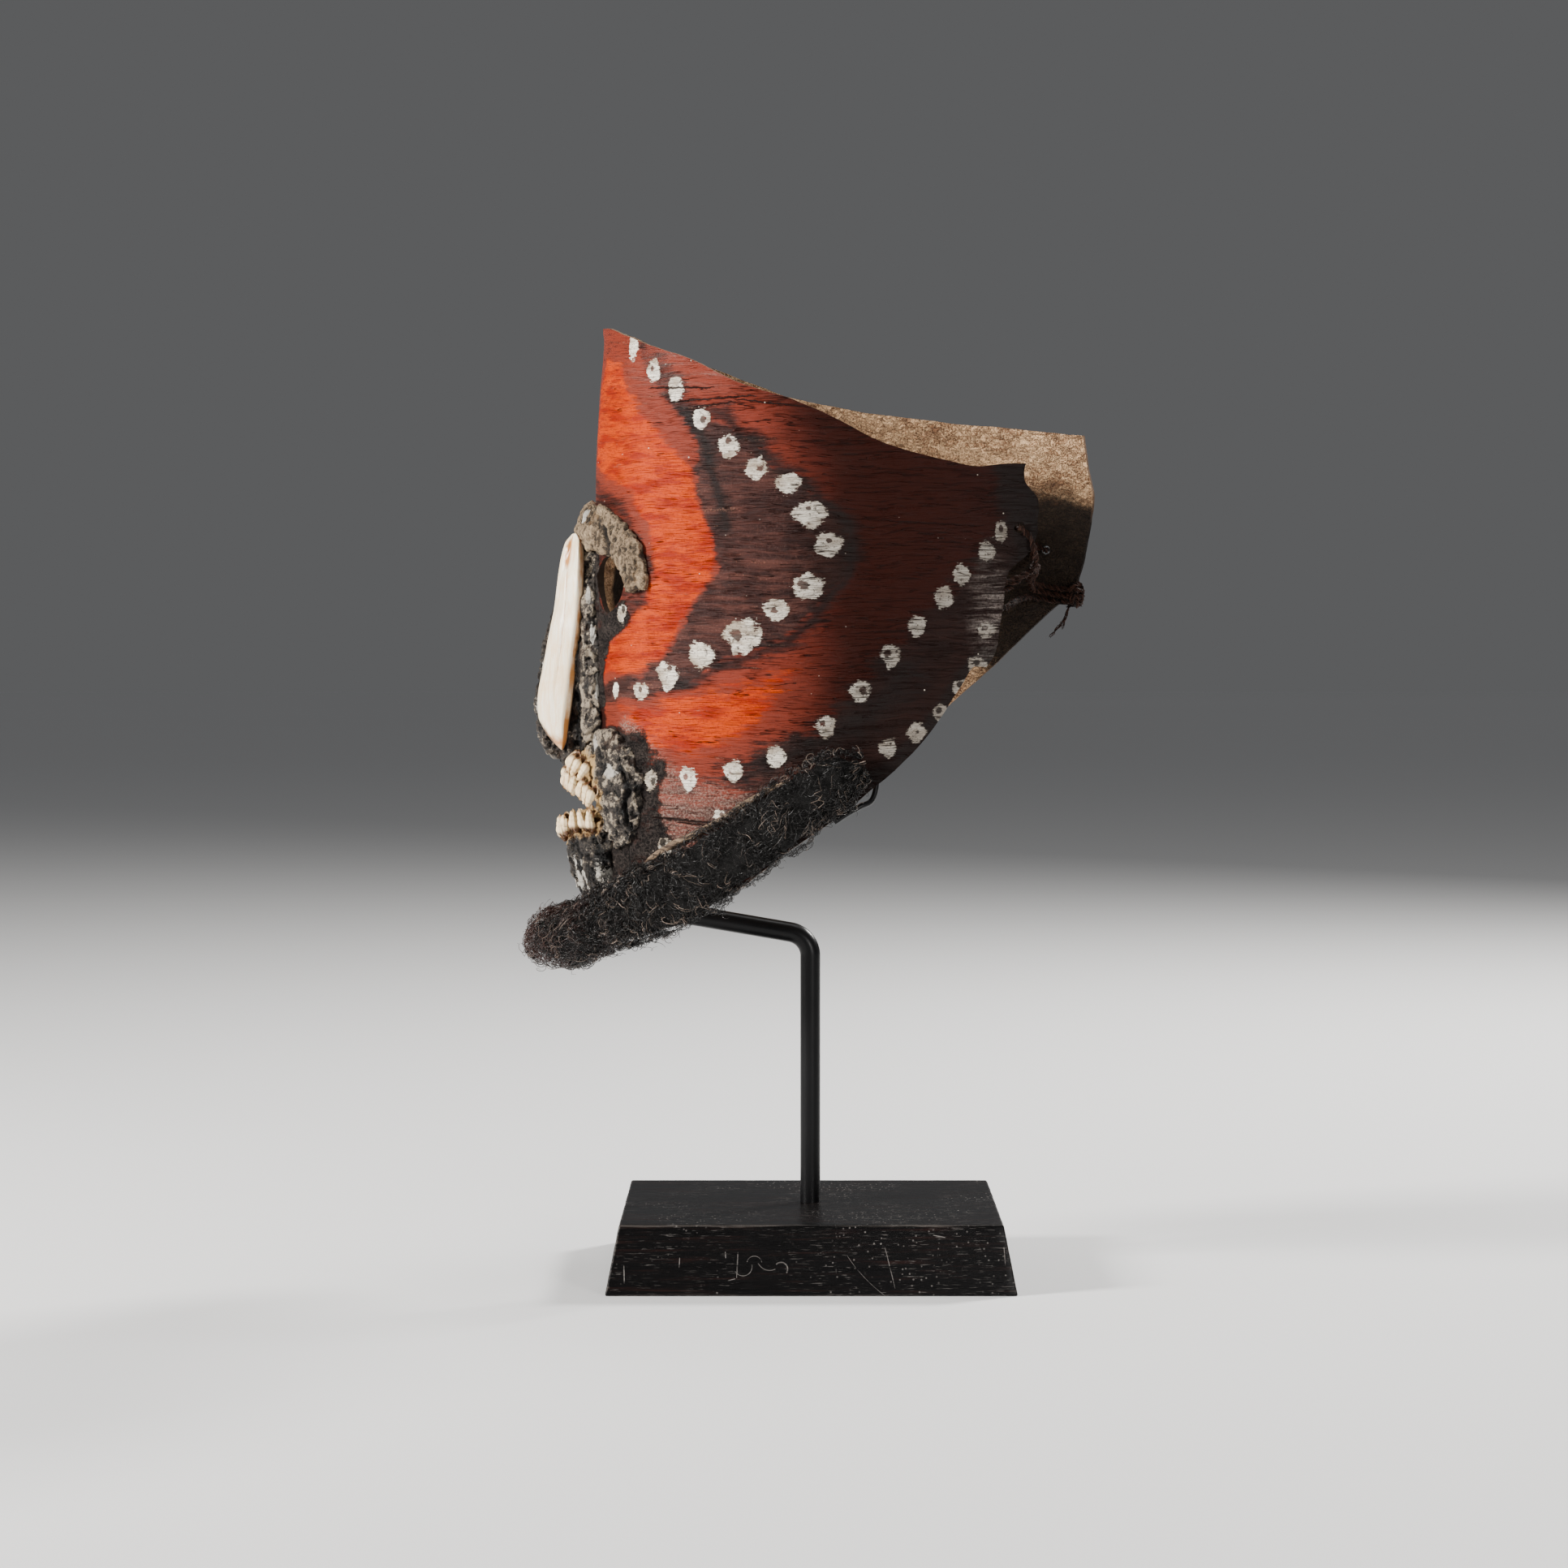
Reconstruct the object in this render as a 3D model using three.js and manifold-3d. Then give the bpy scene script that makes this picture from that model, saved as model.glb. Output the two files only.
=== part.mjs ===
// A Papuan face mask on its display stand, in millimetres, +Z up.
// A sheet of palm-leaf sheath is bent round into an open C, its two ends tied together at the back with fibre cord.
// Brow, nose, lips and chin are moulded in paste, with boar tusks on the nose, small snail shells round the mouth and
// a roll of hair along the lower edge. A bent steel rod with two wire clips holds the mask up over a wooden block.
// The origin is the middle of the block's underside. The mask looks along -X, and -Y is its left side.
import * as THREE from 'three';
import Module from 'manifold-3d';
import { mergeVertices } from 'three/addons/utils/BufferGeometryUtils.js';

const wasm = await Module();
wasm.setup();

// Driving dimensions
const GAP = 0.3;                  // air left between pieces that touch
const BASE_LENGTH = 163;          // the block's underside, along X
const BASE_DEPTH = 147;           // and along Y
const BASE_TOP_INSET = 5.4;       // each side slopes in by this much
const BASE_TOP = 27.5;
const BASE_CHAMFER = 0.8;
const ROD_RADIUS = 4.1;
const ROD_SOCKET_FLOOR = 10;      // the rod stands in a blind hole down to here
const ROD_CORNER_Z = 137.2;       // where the post's line meets the arm's line
const ROD_BEND_RADIUS = 9.8;
const ARM_RISE = 9.2;             // degrees above level, towards the face
const ARM_SWING = 6.5;            // degrees away from straight ahead, to the middle of the mask
const ARM_REACH = 64;
const ARM_TIP_Z = 184;
const WIRE_RADIUS = 1.1;
const SHEET_THICKNESS = 2.2;
const FACE_X = -88;               // the sheet's foremost line, in the stand's frame
const FACE_Y = 14;
const MASK_TURN = 8;              // degrees that the mask is turned about the post
const EYE = { s: 31.5, z: 281.5, halfWidth: 11, halfHeight: 11.5 };
const MOUTH = { z: 193, halfWidth: 21, halfHeight: 3.4 };
const NOSE_LOW = 205;
const NOSE_TOP = 303;
const TUSK_LOW = 213.5;
const TUSK_TOP = 302;
const TUSK_THICKNESS = 5.2;
const CHIN_LOW = 150;
const SHELL = { halfWidth: 2.25, halfLength: 5.1, halfThickness: 2.5, spacing: 4.75 };
const UPPER_SHELLS = 15;
const LOWER_SHELLS = 12;
const TOP_SHELLS = 4;             // a second tier over the upper row, on each side of the nose
const TOP_SHELLS_START = 12.5;
const CORD_RADIUS = 1.4;
const LOOSE_END_RADIUS = 0.8;

const { clamp, degToRad: radians, lerp, smoothstep } = THREE.MathUtils;

// A smooth function through [x, y] knots that never swings past them, flat beyond the first and last
function through(knots) {
  const width = knots.slice(1).map((knot, i) => knot[0] - knots[i][0]);
  const rise = width.map((span, i) => (knots[i + 1][1] - knots[i][1]) / span);
  const endSlope = (i, next) => {
    const slope = ((2 * width[i] + width[next]) * rise[i] - width[i] * rise[next]) / (width[i] + width[next]);
    return slope * rise[i] > 0 ? slope : 0;
  };
  const slope = knots.map((_, i) => {
    if (i === 0) return endSlope(0, 1);
    if (i === knots.length - 1) return endSlope(i - 1, i - 2);
    if (rise[i - 1] * rise[i] <= 0) return 0;
    const [before, after] = [2 * width[i] + width[i - 1], width[i] + 2 * width[i - 1]];
    return (before + after) / (before / rise[i - 1] + after / rise[i]);
  });
  return x => {
    if (x <= knots[0][0]) return knots[0][1];
    if (x >= knots.at(-1)[0]) return knots.at(-1)[1];
    const i = knots.findIndex(knot => knot[0] > x) - 1;
    const span = knots[i + 1][0] - knots[i][0];
    const t = (x - knots[i][0]) / span;
    const h = t * t * (3 - 2 * t);
    return knots[i][1] * (1 - h) + knots[i + 1][1] * h
      + span * t * (1 - t) * (slope[i] * (1 - t) - slope[i + 1] * t);
  };
}

// Hand-made unevenness, between -1 and 1
function lumps(a, b, seed) {
  return (Math.sin(0.37 * a + 1.9 * seed) * Math.cos(0.29 * b - seed)
    + 0.6 * Math.sin(0.83 * b + 0.41 * a + 2.7 * seed)
    + 0.4 * Math.cos(1.31 * a - 0.77 * b + seed)) / 2;
}

// The sheet is described by the distance s along it from the nose line, below 0 on the left, and the height z.
// In plan it curls through these headings, in degrees, from the front to the tied ends.
const headingAt = through([[0, 0], [62, 62], [115, 83], [165, 96], [205, 110], [245, 128]]);
const leanAt = through([[100, 9], [150, 6], [200, 1], [320, 0], [354, 1.5], [386, 4.5], [400, 6]]);
const leftTop = through([[0, 386], [20, 385], [50, 378], [76, 370], [94, 362], [124, 352], [160, 335], [176, 330],
  [190, 327], [202, 328], [214, 328]]);
const rightTop = through([[0, 386], [20, 385], [50, 378], [76, 370], [106, 360], [146, 353], [188, 348], [233, 343]]);
const leftLow = through([[0, 138], [52, 144], [74, 150], [94, 158], [115, 172], [142, 191], [170, 215], [192, 238],
  [200, 248]]);
const rightLow = through([[0, 138], [52, 147], [74, 156], [94, 168], [115, 184], [142, 205], [170, 230], [196, 252],
  [226, 273]]);
const leftEnd = through([[248, 198], [255, 202], [268, 204], [285, 207], [293, 215], [303, 219], [313, 219],
  [322, 213], [328, 214]]);
const rightEnd = through([[273, 226], [288, 232], [300, 235], [318, 238], [326, 236], [343, 233]]);
const LEFT_SPAN = 206;
const RIGHT_SPAN = 232;

const PLAN_STEP = 0.5;
const PLAN_END = 260;
const planCurve = [{ x: 0, y: 0 }];
for (let s = 0; s < PLAN_END; s += PLAN_STEP) {
  const heading = radians(headingAt(s + PLAN_STEP / 2));
  const last = planCurve.at(-1);
  planCurve.push({ x: last.x + PLAN_STEP * Math.sin(heading), y: last.y + PLAN_STEP * Math.cos(heading) });
}

// A point of the sheet's outer face, or off it along its normal, in the mask's own frame
function sheetPoint(s, z, off = 0) {
  const along = Math.abs(s);
  const side = s < 0 ? -1 : 1;
  const i = Math.min(Math.floor(along / PLAN_STEP), planCurve.length - 2);
  const t = along / PLAN_STEP - i;
  const heading = radians(headingAt(along));
  const x = lerp(planCurve[i].x, planCurve[i + 1].x, t);
  const y = lerp(planCurve[i].y, planCurve[i + 1].y, t);
  const lean = leanAt(z) * Math.exp(-((along / 80) ** 2));
  return new THREE.Vector3(x + lean - off * Math.cos(heading), side * (y + off * Math.sin(heading)), z);
}

// The direction straight out of the sheet
function outwards(s, z) {
  return sheetPoint(s, z, 1).sub(sheetPoint(s, z, 0));
}

// A closed mesh becomes a solid for joining and cutting, turned right side out
function solidOf(vertices, faces) {
  const build = order => new wasm.Manifold(new wasm.Mesh({
    numProp: 3,
    vertProperties: new Float32Array(vertices),
    triVerts: new Uint32Array(order),
  }));
  const solid = build(faces);
  if (solid.volume() > 0) return solid;
  const turned = [];
  for (let i = 0; i < faces.length; i += 3) turned.push(faces[i], faces[i + 2], faces[i + 1]);
  return build(turned);
}

function solidOfGeometry(geometry) {
  geometry.deleteAttribute('normal');
  geometry.deleteAttribute('uv');
  const merged = mergeVertices(geometry, 1e-4);
  return solidOf(merged.attributes.position.array, Array.from(merged.index.array));
}

function geometryOf(solid) {
  const mesh = solid.getMesh();
  const geometry = new THREE.BufferGeometry();
  geometry.setAttribute('position', new THREE.BufferAttribute(new Float32Array(mesh.vertProperties), 3));
  geometry.setIndex(new THREE.BufferAttribute(new Uint32Array(mesh.triVerts), 1));
  geometry.computeVertexNormals();
  return geometry;
}

function joined(solids) {
  return solids.reduce((all, solid) => all.add(solid));
}

// Cutting can leave crumbs: the largest body is the piece
function largest(solid) {
  return solid.decompose().reduce((big, body) => (body.volume() > big.volume() ? body : big));
}

// A solid between a grid of front points and the same grid of back points
function slab(columns, rows, front, back) {
  const positions = [];
  const faces = [];
  const layer = (columns + 1) * (rows + 1);
  for (const place of [front, back]) {
    for (let i = 0; i <= columns; i++) {
      for (let j = 0; j <= rows; j++) positions.push(...place(i / columns, j / rows).toArray());
    }
  }
  const at = (i, j) => i * (rows + 1) + j;
  const quad = (a, b, c, d) => faces.push(a, b, c, a, c, d);
  for (let i = 0; i < columns; i++) {
    for (let j = 0; j < rows; j++) {
      quad(at(i, j), at(i + 1, j), at(i + 1, j + 1), at(i, j + 1));
      quad(layer + at(i, j), layer + at(i, j + 1), layer + at(i + 1, j + 1), layer + at(i + 1, j));
    }
    quad(at(i, 0), layer + at(i, 0), layer + at(i + 1, 0), at(i + 1, 0));
    quad(at(i, rows), at(i + 1, rows), layer + at(i + 1, rows), layer + at(i, rows));
  }
  for (let j = 0; j < rows; j++) {
    quad(at(0, j), at(0, j + 1), layer + at(0, j + 1), layer + at(0, j));
    quad(at(columns, j), layer + at(columns, j), layer + at(columns, j + 1), at(columns, j + 1));
  }
  return solidOf(positions, faces);
}

// A solid through rings of points, with flat ends
function loft(rings) {
  const sides = rings[0].length;
  const positions = rings.flat().flatMap(point => point.toArray());
  const faces = [];
  for (let i = 0; i + 1 < rings.length; i++) {
    for (let j = 0; j < sides; j++) {
      const [a, b] = [i * sides + j, i * sides + (j + 1) % sides];
      faces.push(a, b, b + sides, a, b + sides, a + sides);
    }
  }
  for (const ring of [0, rings.length - 1]) {
    const centre = new THREE.Vector3();
    rings[ring].forEach(point => centre.addScaledVector(point, 1 / sides));
    const hub = positions.length / 3;
    positions.push(...centre.toArray());
    for (let j = 0; j < sides; j++) {
      const [a, b] = [ring * sides + j, ring * sides + (j + 1) % sides];
      faces.push(...(ring ? [hub, a, b] : [hub, b, a]));
    }
  }
  return solidOf(positions, faces);
}

// A path that steps from one given point to the next, however far apart they are
class Stations extends THREE.Curve {
  constructor(points) {
    super();
    this.points = points;
  }

  getPoint(t) {
    const steps = this.points.length - 1;
    const i = Math.min(Math.floor(t * steps), steps - 1);
    return this.points[i].clone().lerp(this.points[i + 1], t * steps - i);
  }

  getPointAt(u) {
    return this.getPoint(u);
  }

  getTangentAt(u) {
    return this.getTangent(u);
  }
}

function circle(radius, sides) {
  return Array.from({ length: sides }, (_, k) => {
    const turn = 2 * Math.PI * (k + 0.5) / sides;
    return new THREE.Vector2(radius * Math.cos(turn), radius * Math.sin(turn));
  });
}

function tube(points, radius, sides) {
  return solidOfGeometry(new THREE.ExtrudeGeometry(new THREE.Shape(circle(radius, sides)), {
    steps: points.length - 1,
    extrudePath: new Stations(points),
  }));
}

function smoothPath(points, steps) {
  return new THREE.CatmullRomCurve3(points, false, 'centripetal').getSpacedPoints(steps);
}

// A straight cutter through the sheet round (s, z)
function cutter(s, z, halfWidth, halfHeight, sides = 16) {
  const sideways = sheetPoint(s + 0.5, z).sub(sheetPoint(s - 0.5, z)).normalize();
  return loft([-9, 9].map(off => circle(1, sides).map(corner => sheetPoint(s, z, off)
    .addScaledVector(sideways, halfWidth * corner.x)
    .add(new THREE.Vector3(0, 0, halfHeight * corner.y)))));
}

// From corner to corner of the sheet: u runs from the left end to the right end, v from the lower edge to the top
function sheetPlace(u, v) {
  const share = 2 * u - 1;
  const left = share < 0;
  const along = Math.abs(share) * (left ? LEFT_SPAN : RIGHT_SPAN);
  const z = lerp(left ? leftLow(along) : rightLow(along), left ? leftTop(along) : rightTop(along), v);
  const stretch = left ? leftEnd(z) - LEFT_SPAN : rightEnd(z) - RIGHT_SPAN;
  return [Math.sign(share) * (along + stretch * smoothstep(Math.abs(share), 0.8, 1)), z];
}

function sheetBody(outside, inside) {
  return slab(42, 10,
    (u, v) => sheetPoint(...sheetPlace(u, v), outside),
    (u, v) => sheetPoint(...sheetPlace(u, v), inside));
}

// Tie holes near the ends: one on the left, one on the right
const LEFT_HOLE = [-211.5, 302.5];
const RIGHT_HOLE = [215, 296];
const TIE_HOLE_RADIUS = CORD_RADIUS + 1.1;

function makeSheet() {
  return sheetBody(0, -SHEET_THICKNESS).subtract(joined([
    cutter(-EYE.s, EYE.z, EYE.halfWidth, EYE.halfHeight),
    cutter(EYE.s, EYE.z, EYE.halfWidth, EYE.halfHeight),
    cutter(0, MOUTH.z, MOUTH.halfWidth, MOUTH.halfHeight),
    cutter(...LEFT_HOLE, TIE_HOLE_RADIUS, TIE_HOLE_RADIUS, 8),
    cutter(...RIGHT_HOLE, TIE_HOLE_RADIUS, TIE_HOLE_RADIUS, 8),
  ]));
}

// Paste pressed on the sheet: height is how thick it is at each place, and grow swells it by as much all round
function paste(columns, rows, place, height, grow = 0) {
  return slab(columns, rows,
    (u, v) => {
      const [s, z] = place(u, v);
      return sheetPoint(s, z, GAP + grow + height(s, z, u, v));
    },
    (u, v) => sheetPoint(...place(u, v), GAP - 4 * grow));
}

// Brow: one band from eye corner to eye corner, over both eyes, with a lump over the bridge of the nose.
// These edges run from the middle, at 0, to the eye's outer corner, at 1.
const browInner = {
  s: through([[0, 0], [0.2, 16], [0.4, 27], [0.65, 38], [0.85, 44], [1, 46]]),
  z: through([[0, 296], [0.2, 295.5], [0.4, 294], [0.65, 290], [0.85, 283], [1, 278]]),
};
const browOuter = {
  s: through([[0, 0], [0.2, 16], [0.4, 32], [0.65, 48], [0.85, 56.5], [1, 57.5]]),
  z: through([[0, 314.5], [0.2, 314], [0.4, 311.5], [0.65, 302], [0.85, 288], [1, 278]]),
};

function browBody(grow = 0) {
  const place = (u, v) => {
    const way = 2 * u - 1;
    const out = Math.abs(way);
    const across = lerp(-grow / 16, 1 + grow / 16, v);
    return [Math.sign(way) * lerp(browInner.s(out), browOuter.s(out), across),
      lerp(browInner.z(out), browOuter.z(out), across)];
  };
  const height = (s, z, u, v) => 1 + (2.6 + 4.6 * Math.exp(-((s / 17) ** 2))) * Math.sin(Math.PI * (0.16 + 0.74 * v))
    + 0.6 * lumps(s, z, 3);
  return paste(28, 3, place, height, grow);
}

// Nose: a keel of paste with a plate behind it, in level sections from the lip to the bridge. ridge is how far the
// keel stands out from the sheet, flank its half width and plate the plate's.
const ridgeAt = through([[205, 12], [207.5, 19], [214.7, 23.7], [222.7, 25.8], [233, 26.2], [246, 24.4], [253, 23.5],
  [262, 22.2], [270, 18.8], [278, 16.7], [291.5, 13], [303, 8.5]]);
const flankAt = through([[205, 7], [212, 11.5], [225, 13.5], [245, 13], [270, 11.5], [290, 9.5], [303, 7]]);
const plateAt = through([[205, 10], [213, 17], [222, 21.5], [250, 21.5], [268, 18.5], [285, 12.5], [303, 10]]);
const FLANK_BACK = -5;

function flankWidth(x, z) {
  const t = clamp((x + ridgeAt(z) - 2) / (FLANK_BACK + ridgeAt(z) - 2), 0, 1);
  return lerp(0.42, 1, t) * flankAt(z);
}

function noseBody() {
  const levels = 11;
  return loft(Array.from({ length: levels + 1 }, (_, k) => {
    const z = lerp(NOSE_LOW, NOSE_TOP, k / levels);
    const ridge = -ridgeAt(z);
    const flank = [ridge + 2, (ridge + FLANK_BACK) / 2, FLANK_BACK].map(x => [x, flankWidth(x, z)]);
    const half = [...flank, [FLANK_BACK + 3, plateAt(z)]];
    const front = [...half.map(([x, y]) => [x, -y]).reverse(), [ridge, 0], ...half]
      .map(([x, y]) => new THREE.Vector3(x + leanAt(z), y, z));
    const back = [1.03, 0.75, 0.25, -0.25, -0.75, -1.03].map(share => sheetPoint(share * plateAt(z), z, 2 * GAP));
    return [...front, ...back];
  }));
}

// Tusk: half of a split boar's tusk along each flank of the nose, its point downwards
const tuskFront = through([[213.5, 13.4], [217, 17.4], [222, 21], [227, 23.4], [233, 23.8], [250, 21], [270, 17.2],
  [298, 12.6], [302, 9.5]]);
const tuskBack = through([[213.5, 12.4], [218, 10.4], [225, 9.2], [233, 7.8], [250, 5.8], [270, 3.6], [290, 3.2],
  [299, 4.2], [302, 6.5]]);
const TUSK_SEAT_TOP = 296;        // above this the tusk stands clear of the flank
const TUSK_SECTION = [[0, 0], [0.04, 0.5], [0.2, 0.86], [0.46, 1], [0.78, 0.94], [0.93, 0.62], [1, 0]];

function tuskBody(side, grow = 0) {
  const levels = 12;
  return loft(Array.from({ length: levels + 1 }, (_, k) => {
    const z = lerp(TUSK_LOW, TUSK_TOP, 0.5 - 0.5 * Math.cos(Math.PI * k / levels));
    const thickness = TUSK_THICKNESS * Math.min(1, 0.45 + 0.09 * Math.min(z - TUSK_LOW, TUSK_TOP - z));
    return TUSK_SECTION.map(([across, out]) => {
      const x = lerp(-tuskFront(z), -tuskBack(z), across);
      const y = flankWidth(x, Math.min(z, TUSK_SEAT_TOP)) + GAP + 0.15 - grow + (thickness + 2 * grow) * out;
      return new THREE.Vector3(x + grow * (2 * across - 1), side * y, z + 2 * grow * Math.sign(k - levels / 2));
    });
  }));
}

// Upper lip: a shelf over the mouth that runs out into a lump at each corner
const LIP_END = 53;
const lipTop = through([[0, 213], [12, 214], [22, 219], [34, 221.5], [44, 217], [53, 205]]);
const lipLow = through([[0, 200.5], [10, 199.5], [20, 196], [28, 192.5], [31, 184], [38, 175], [47, 178], [53, 188]]);
const lipHeight = through([[0, 9.8], [10, 9], [20, 7.2], [28, 5.6], [34, 7], [44, 6.4], [53, 2.5]]);

function upperLipHeight(s, z) {
  const along = Math.abs(s);
  const v = clamp((z - lipLow(along)) / (lipTop(along) - lipLow(along)), 0, 1);
  const shelf = 1 - 0.55 * smoothstep(v, 0.5, 1);
  const cheek = 0.4 + 0.6 * Math.sin(Math.PI * v);
  return 0.8 + lipHeight(along) * lerp(shelf, cheek, smoothstep(along, 26, 36)) + 0.5 * lumps(s, z, 7);
}

function upperLipBody(grow = 0) {
  const place = (u, v) => {
    const s = lerp(-LIP_END - grow, LIP_END + grow, u);
    return [s, lerp(lipLow(Math.abs(s)) - grow, lipTop(Math.abs(s)) + grow, v)];
  };
  return paste(28, 4, place, upperLipHeight, grow);
}

// Chin, with the lower lip along its top
const chinTop = through([[0, 184], [10, 186.5], [20, 189], [27, 188.5], [30, 181]]);
const chinHeight = through([[148, 8.5], [160, 12], [168, 14.2], [174, 14.8], [180, 13], [189, 11]]);
const CHIN_HALF_WIDTHS = [24, 30];

function chinPasteHeight(s, z) {
  return 0.8 + chinHeight(z) * (1 - 0.72 * smoothstep(Math.abs(s), 3, 32)) + 0.7 * lumps(s, z, 11);
}

function chinBody(grow = 0) {
  const place = (u, v) => {
    const s = (2 * u - 1) * (lerp(...CHIN_HALF_WIDTHS, v) + grow);
    return [s, lerp(CHIN_LOW - grow, chinTop(Math.abs(s)), v)];
  };
  return paste(18, 5, place, chinPasteHeight, grow);
}

// Shells: a row on the edge of each lip, their free ends leaning out over the open mouth
const upperTips = through([[0, 198], [15, 196], [25, 192.8], [36, 189]]);
const lowerTips = through([[0, 184.5], [10, 187.5], [20, 190], [28, 190]]);

function shellRow(name, count, placeOf) {
  return Array.from({ length: count }, (_, k) => ({ name: `${name}_${k + 1}`, ...placeOf(k) }));
}

const shells = [
  ...shellRow('shell_upper', UPPER_SHELLS, k => {
    const s = (k - (UPPER_SHELLS - 1) / 2) * SHELL.spacing;
    const z = upperTips(Math.abs(s)) + SHELL.halfLength;
    return { s, z, off: upperLipHeight(s, z), tilt: -12 };
  }),
  ...shellRow('shell_lower', LOWER_SHELLS, k => {
    const s = (k - (LOWER_SHELLS - 1) / 2) * SHELL.spacing;
    const z = lowerTips(Math.abs(s)) - SHELL.halfLength;
    return { s, z, off: chinPasteHeight(s, z), tilt: 10 };
  }),
  ...[-1, 1].flatMap(side => shellRow(side < 0 ? 'shell_top_left' : 'shell_top_right', TOP_SHELLS, k => {
    const s = side * (TOP_SHELLS_START + k * SHELL.spacing);
    const z = upperTips(Math.abs(s)) + 2.6 * SHELL.halfLength;
    return { s, z, off: upperLipHeight(s, z), tilt: -30 };
  })),
];

function shellBody({ s, z, off, tilt }, grow = 0) {
  const geometry = new THREE.SphereGeometry(1, 6, 4);
  geometry.rotateX(Math.PI / 2);
  geometry.scale(SHELL.halfWidth + grow, SHELL.halfThickness + grow, SHELL.halfLength + grow);
  geometry.rotateX(radians(tilt));
  const out = outwards(s, z);
  geometry.rotateZ(Math.atan2(out.y, out.x) + Math.PI / 2);
  const centre = sheetPoint(s, z, 2 * GAP + off + SHELL.halfThickness);
  geometry.translate(centre.x, centre.y, centre.z);
  return solidOfGeometry(geometry);
}

// Cane strip on each cheek, along the upper side of the beard
const STRIP_HALF_WIDTH = 2.1;

function stripBody(side, grow = 0) {
  const place = (u, v) => {
    const middle = lerp(167, 201.5, u) + (side < 0 ? 0 : 10 * u) + 0.8 * Math.sin(9 * u);
    return [side * lerp(50 - grow, 118 + grow, u), middle + (2 * v - 1) * (STRIP_HALF_WIDTH + grow)];
  };
  return paste(9, 2, place, (s, z, u, v) => 1.5 - Math.abs(v - 0.5), grow);
}

// Beard: a roll of hair round the lower edge, thickest in front of the chin. Its section is an ellipse round a
// middle line at height z, off the sheet.
const BEARD_END = 151;
const beard = {
  z: through([[0, 136], [14, 137], [32, 145], [53, 151.5], [73, 158.5], [93, 171], [110, 182], [126, 194], [140, 204],
    [151, 209]]),
  off: through([[0, 18.5], [14, 16.5], [32, 9.5], [53, 7.2], [110, 7], [140, 6.2], [151, 5]]),
  halfThickness: through([[0, 17], [14, 15.5], [32, 9], [53, 7.8], [110, 7.4], [140, 6], [151, 2.5]]),
  halfHeight: through([[0, 11.5], [14, 12.5], [32, 13], [53, 14], [73, 14.5], [110, 13.5], [140, 11.5], [151, 4]]),
};

function beardBody() {
  const steps = 31;
  const sides = 9;
  const middleAt = s => {
    const rise = s > 0 ? rightLow(s) - leftLow(s) : 0;
    return sheetPoint(s, beard.z(Math.abs(s)) + rise, beard.off(Math.abs(s)));
  };
  return loft(Array.from({ length: steps + 1 }, (_, i) => {
    const s = lerp(-BEARD_END, BEARD_END, i / steps);
    const middle = middleAt(s);
    const along = middleAt(s + 1).sub(middleAt(s - 1)).normalize();
    const out = outwards(s, middle.z);
    out.addScaledVector(along, -out.dot(along)).normalize();
    const up = out.clone().cross(along);
    return circle(1, sides).map((corner, k) => {
      const uneven = 1 + 0.1 * lumps(s * 0.9, k * 2.2, 13);
      return middle.clone().addScaledVector(out, beard.halfThickness(Math.abs(s)) * uneven * corner.x)
        .addScaledVector(up, beard.halfHeight(Math.abs(s)) * uneven * corner.y);
    });
  }));
}

// Lashing: fibre cords drawn between the sheet's two ends. They start from the hole and from stitches inside the left
// end, cross in mid air, and are wound round the edge of the right end, where two loose ends hang down.
function makeLashing() {
  const inside = -SHEET_THICKNESS - CORD_RADIUS - 0.8;
  const outside = CORD_RADIUS + 0.8;
  const crossing = new THREE.Vector3(182, -29, 286);
  const throughHole = ([s, z], towardsEnd) => [sheetPoint(s - 4 * towardsEnd, z + 2, inside - 0.3),
    sheetPoint(s, z, inside + 0.9), sheetPoint(s, z, outside - 0.9), sheetPoint(s + 3 * towardsEnd, z - 3, outside)];
  const stitch = z => [sheetPoint(-194, z - 1, inside), sheetPoint(-201, z, inside - 0.6),
    sheetPoint(-207, z + 1, inside - 5)];
  const winding = z => {
    const end = rightEnd(z);
    return [sheetPoint(end - 14, z + 2, inside - 3), sheetPoint(end - 3, z + 0.5, inside - 0.4),
      sheetPoint(end + 1.2, z, inside), sheetPoint(end + 3.4, z - 0.4, -SHEET_THICKNESS / 2),
      sheetPoint(end + 1.2, z - 0.8, outside), sheetPoint(end - 4, z - 1, outside)];
  };
  const cords = [
    [...throughHole(LEFT_HOLE, -1), sheetPoint(-217, 292, outside), crossing, ...winding(279.2)],
    [...throughHole(RIGHT_HOLE, 1).reverse().slice(1), sheetPoint(212, 292.5, inside - 3), crossing,
      ...stitch(280).reverse()],
    [...stitch(276.6), crossing, ...winding(276.6)],
    [...stitch(270), ...winding(274)],
  ];
  const looseEnds = [[214, 259.5, 1], [219, 263, 2.4]].map(([s, z, off]) => [sheetPoint(224, 273.5, outside),
    sheetPoint(222, 268, outside), sheetPoint(s, z, outside + off)]);
  return joined([
    ...cords.map(route => tube(smoothPath(route, Math.round(2.6 * route.length)), CORD_RADIUS, 5)),
    ...looseEnds.map(route => tube(smoothPath(route, 3), LOOSE_END_RADIUS, 4)),
  ]);
}

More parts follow.
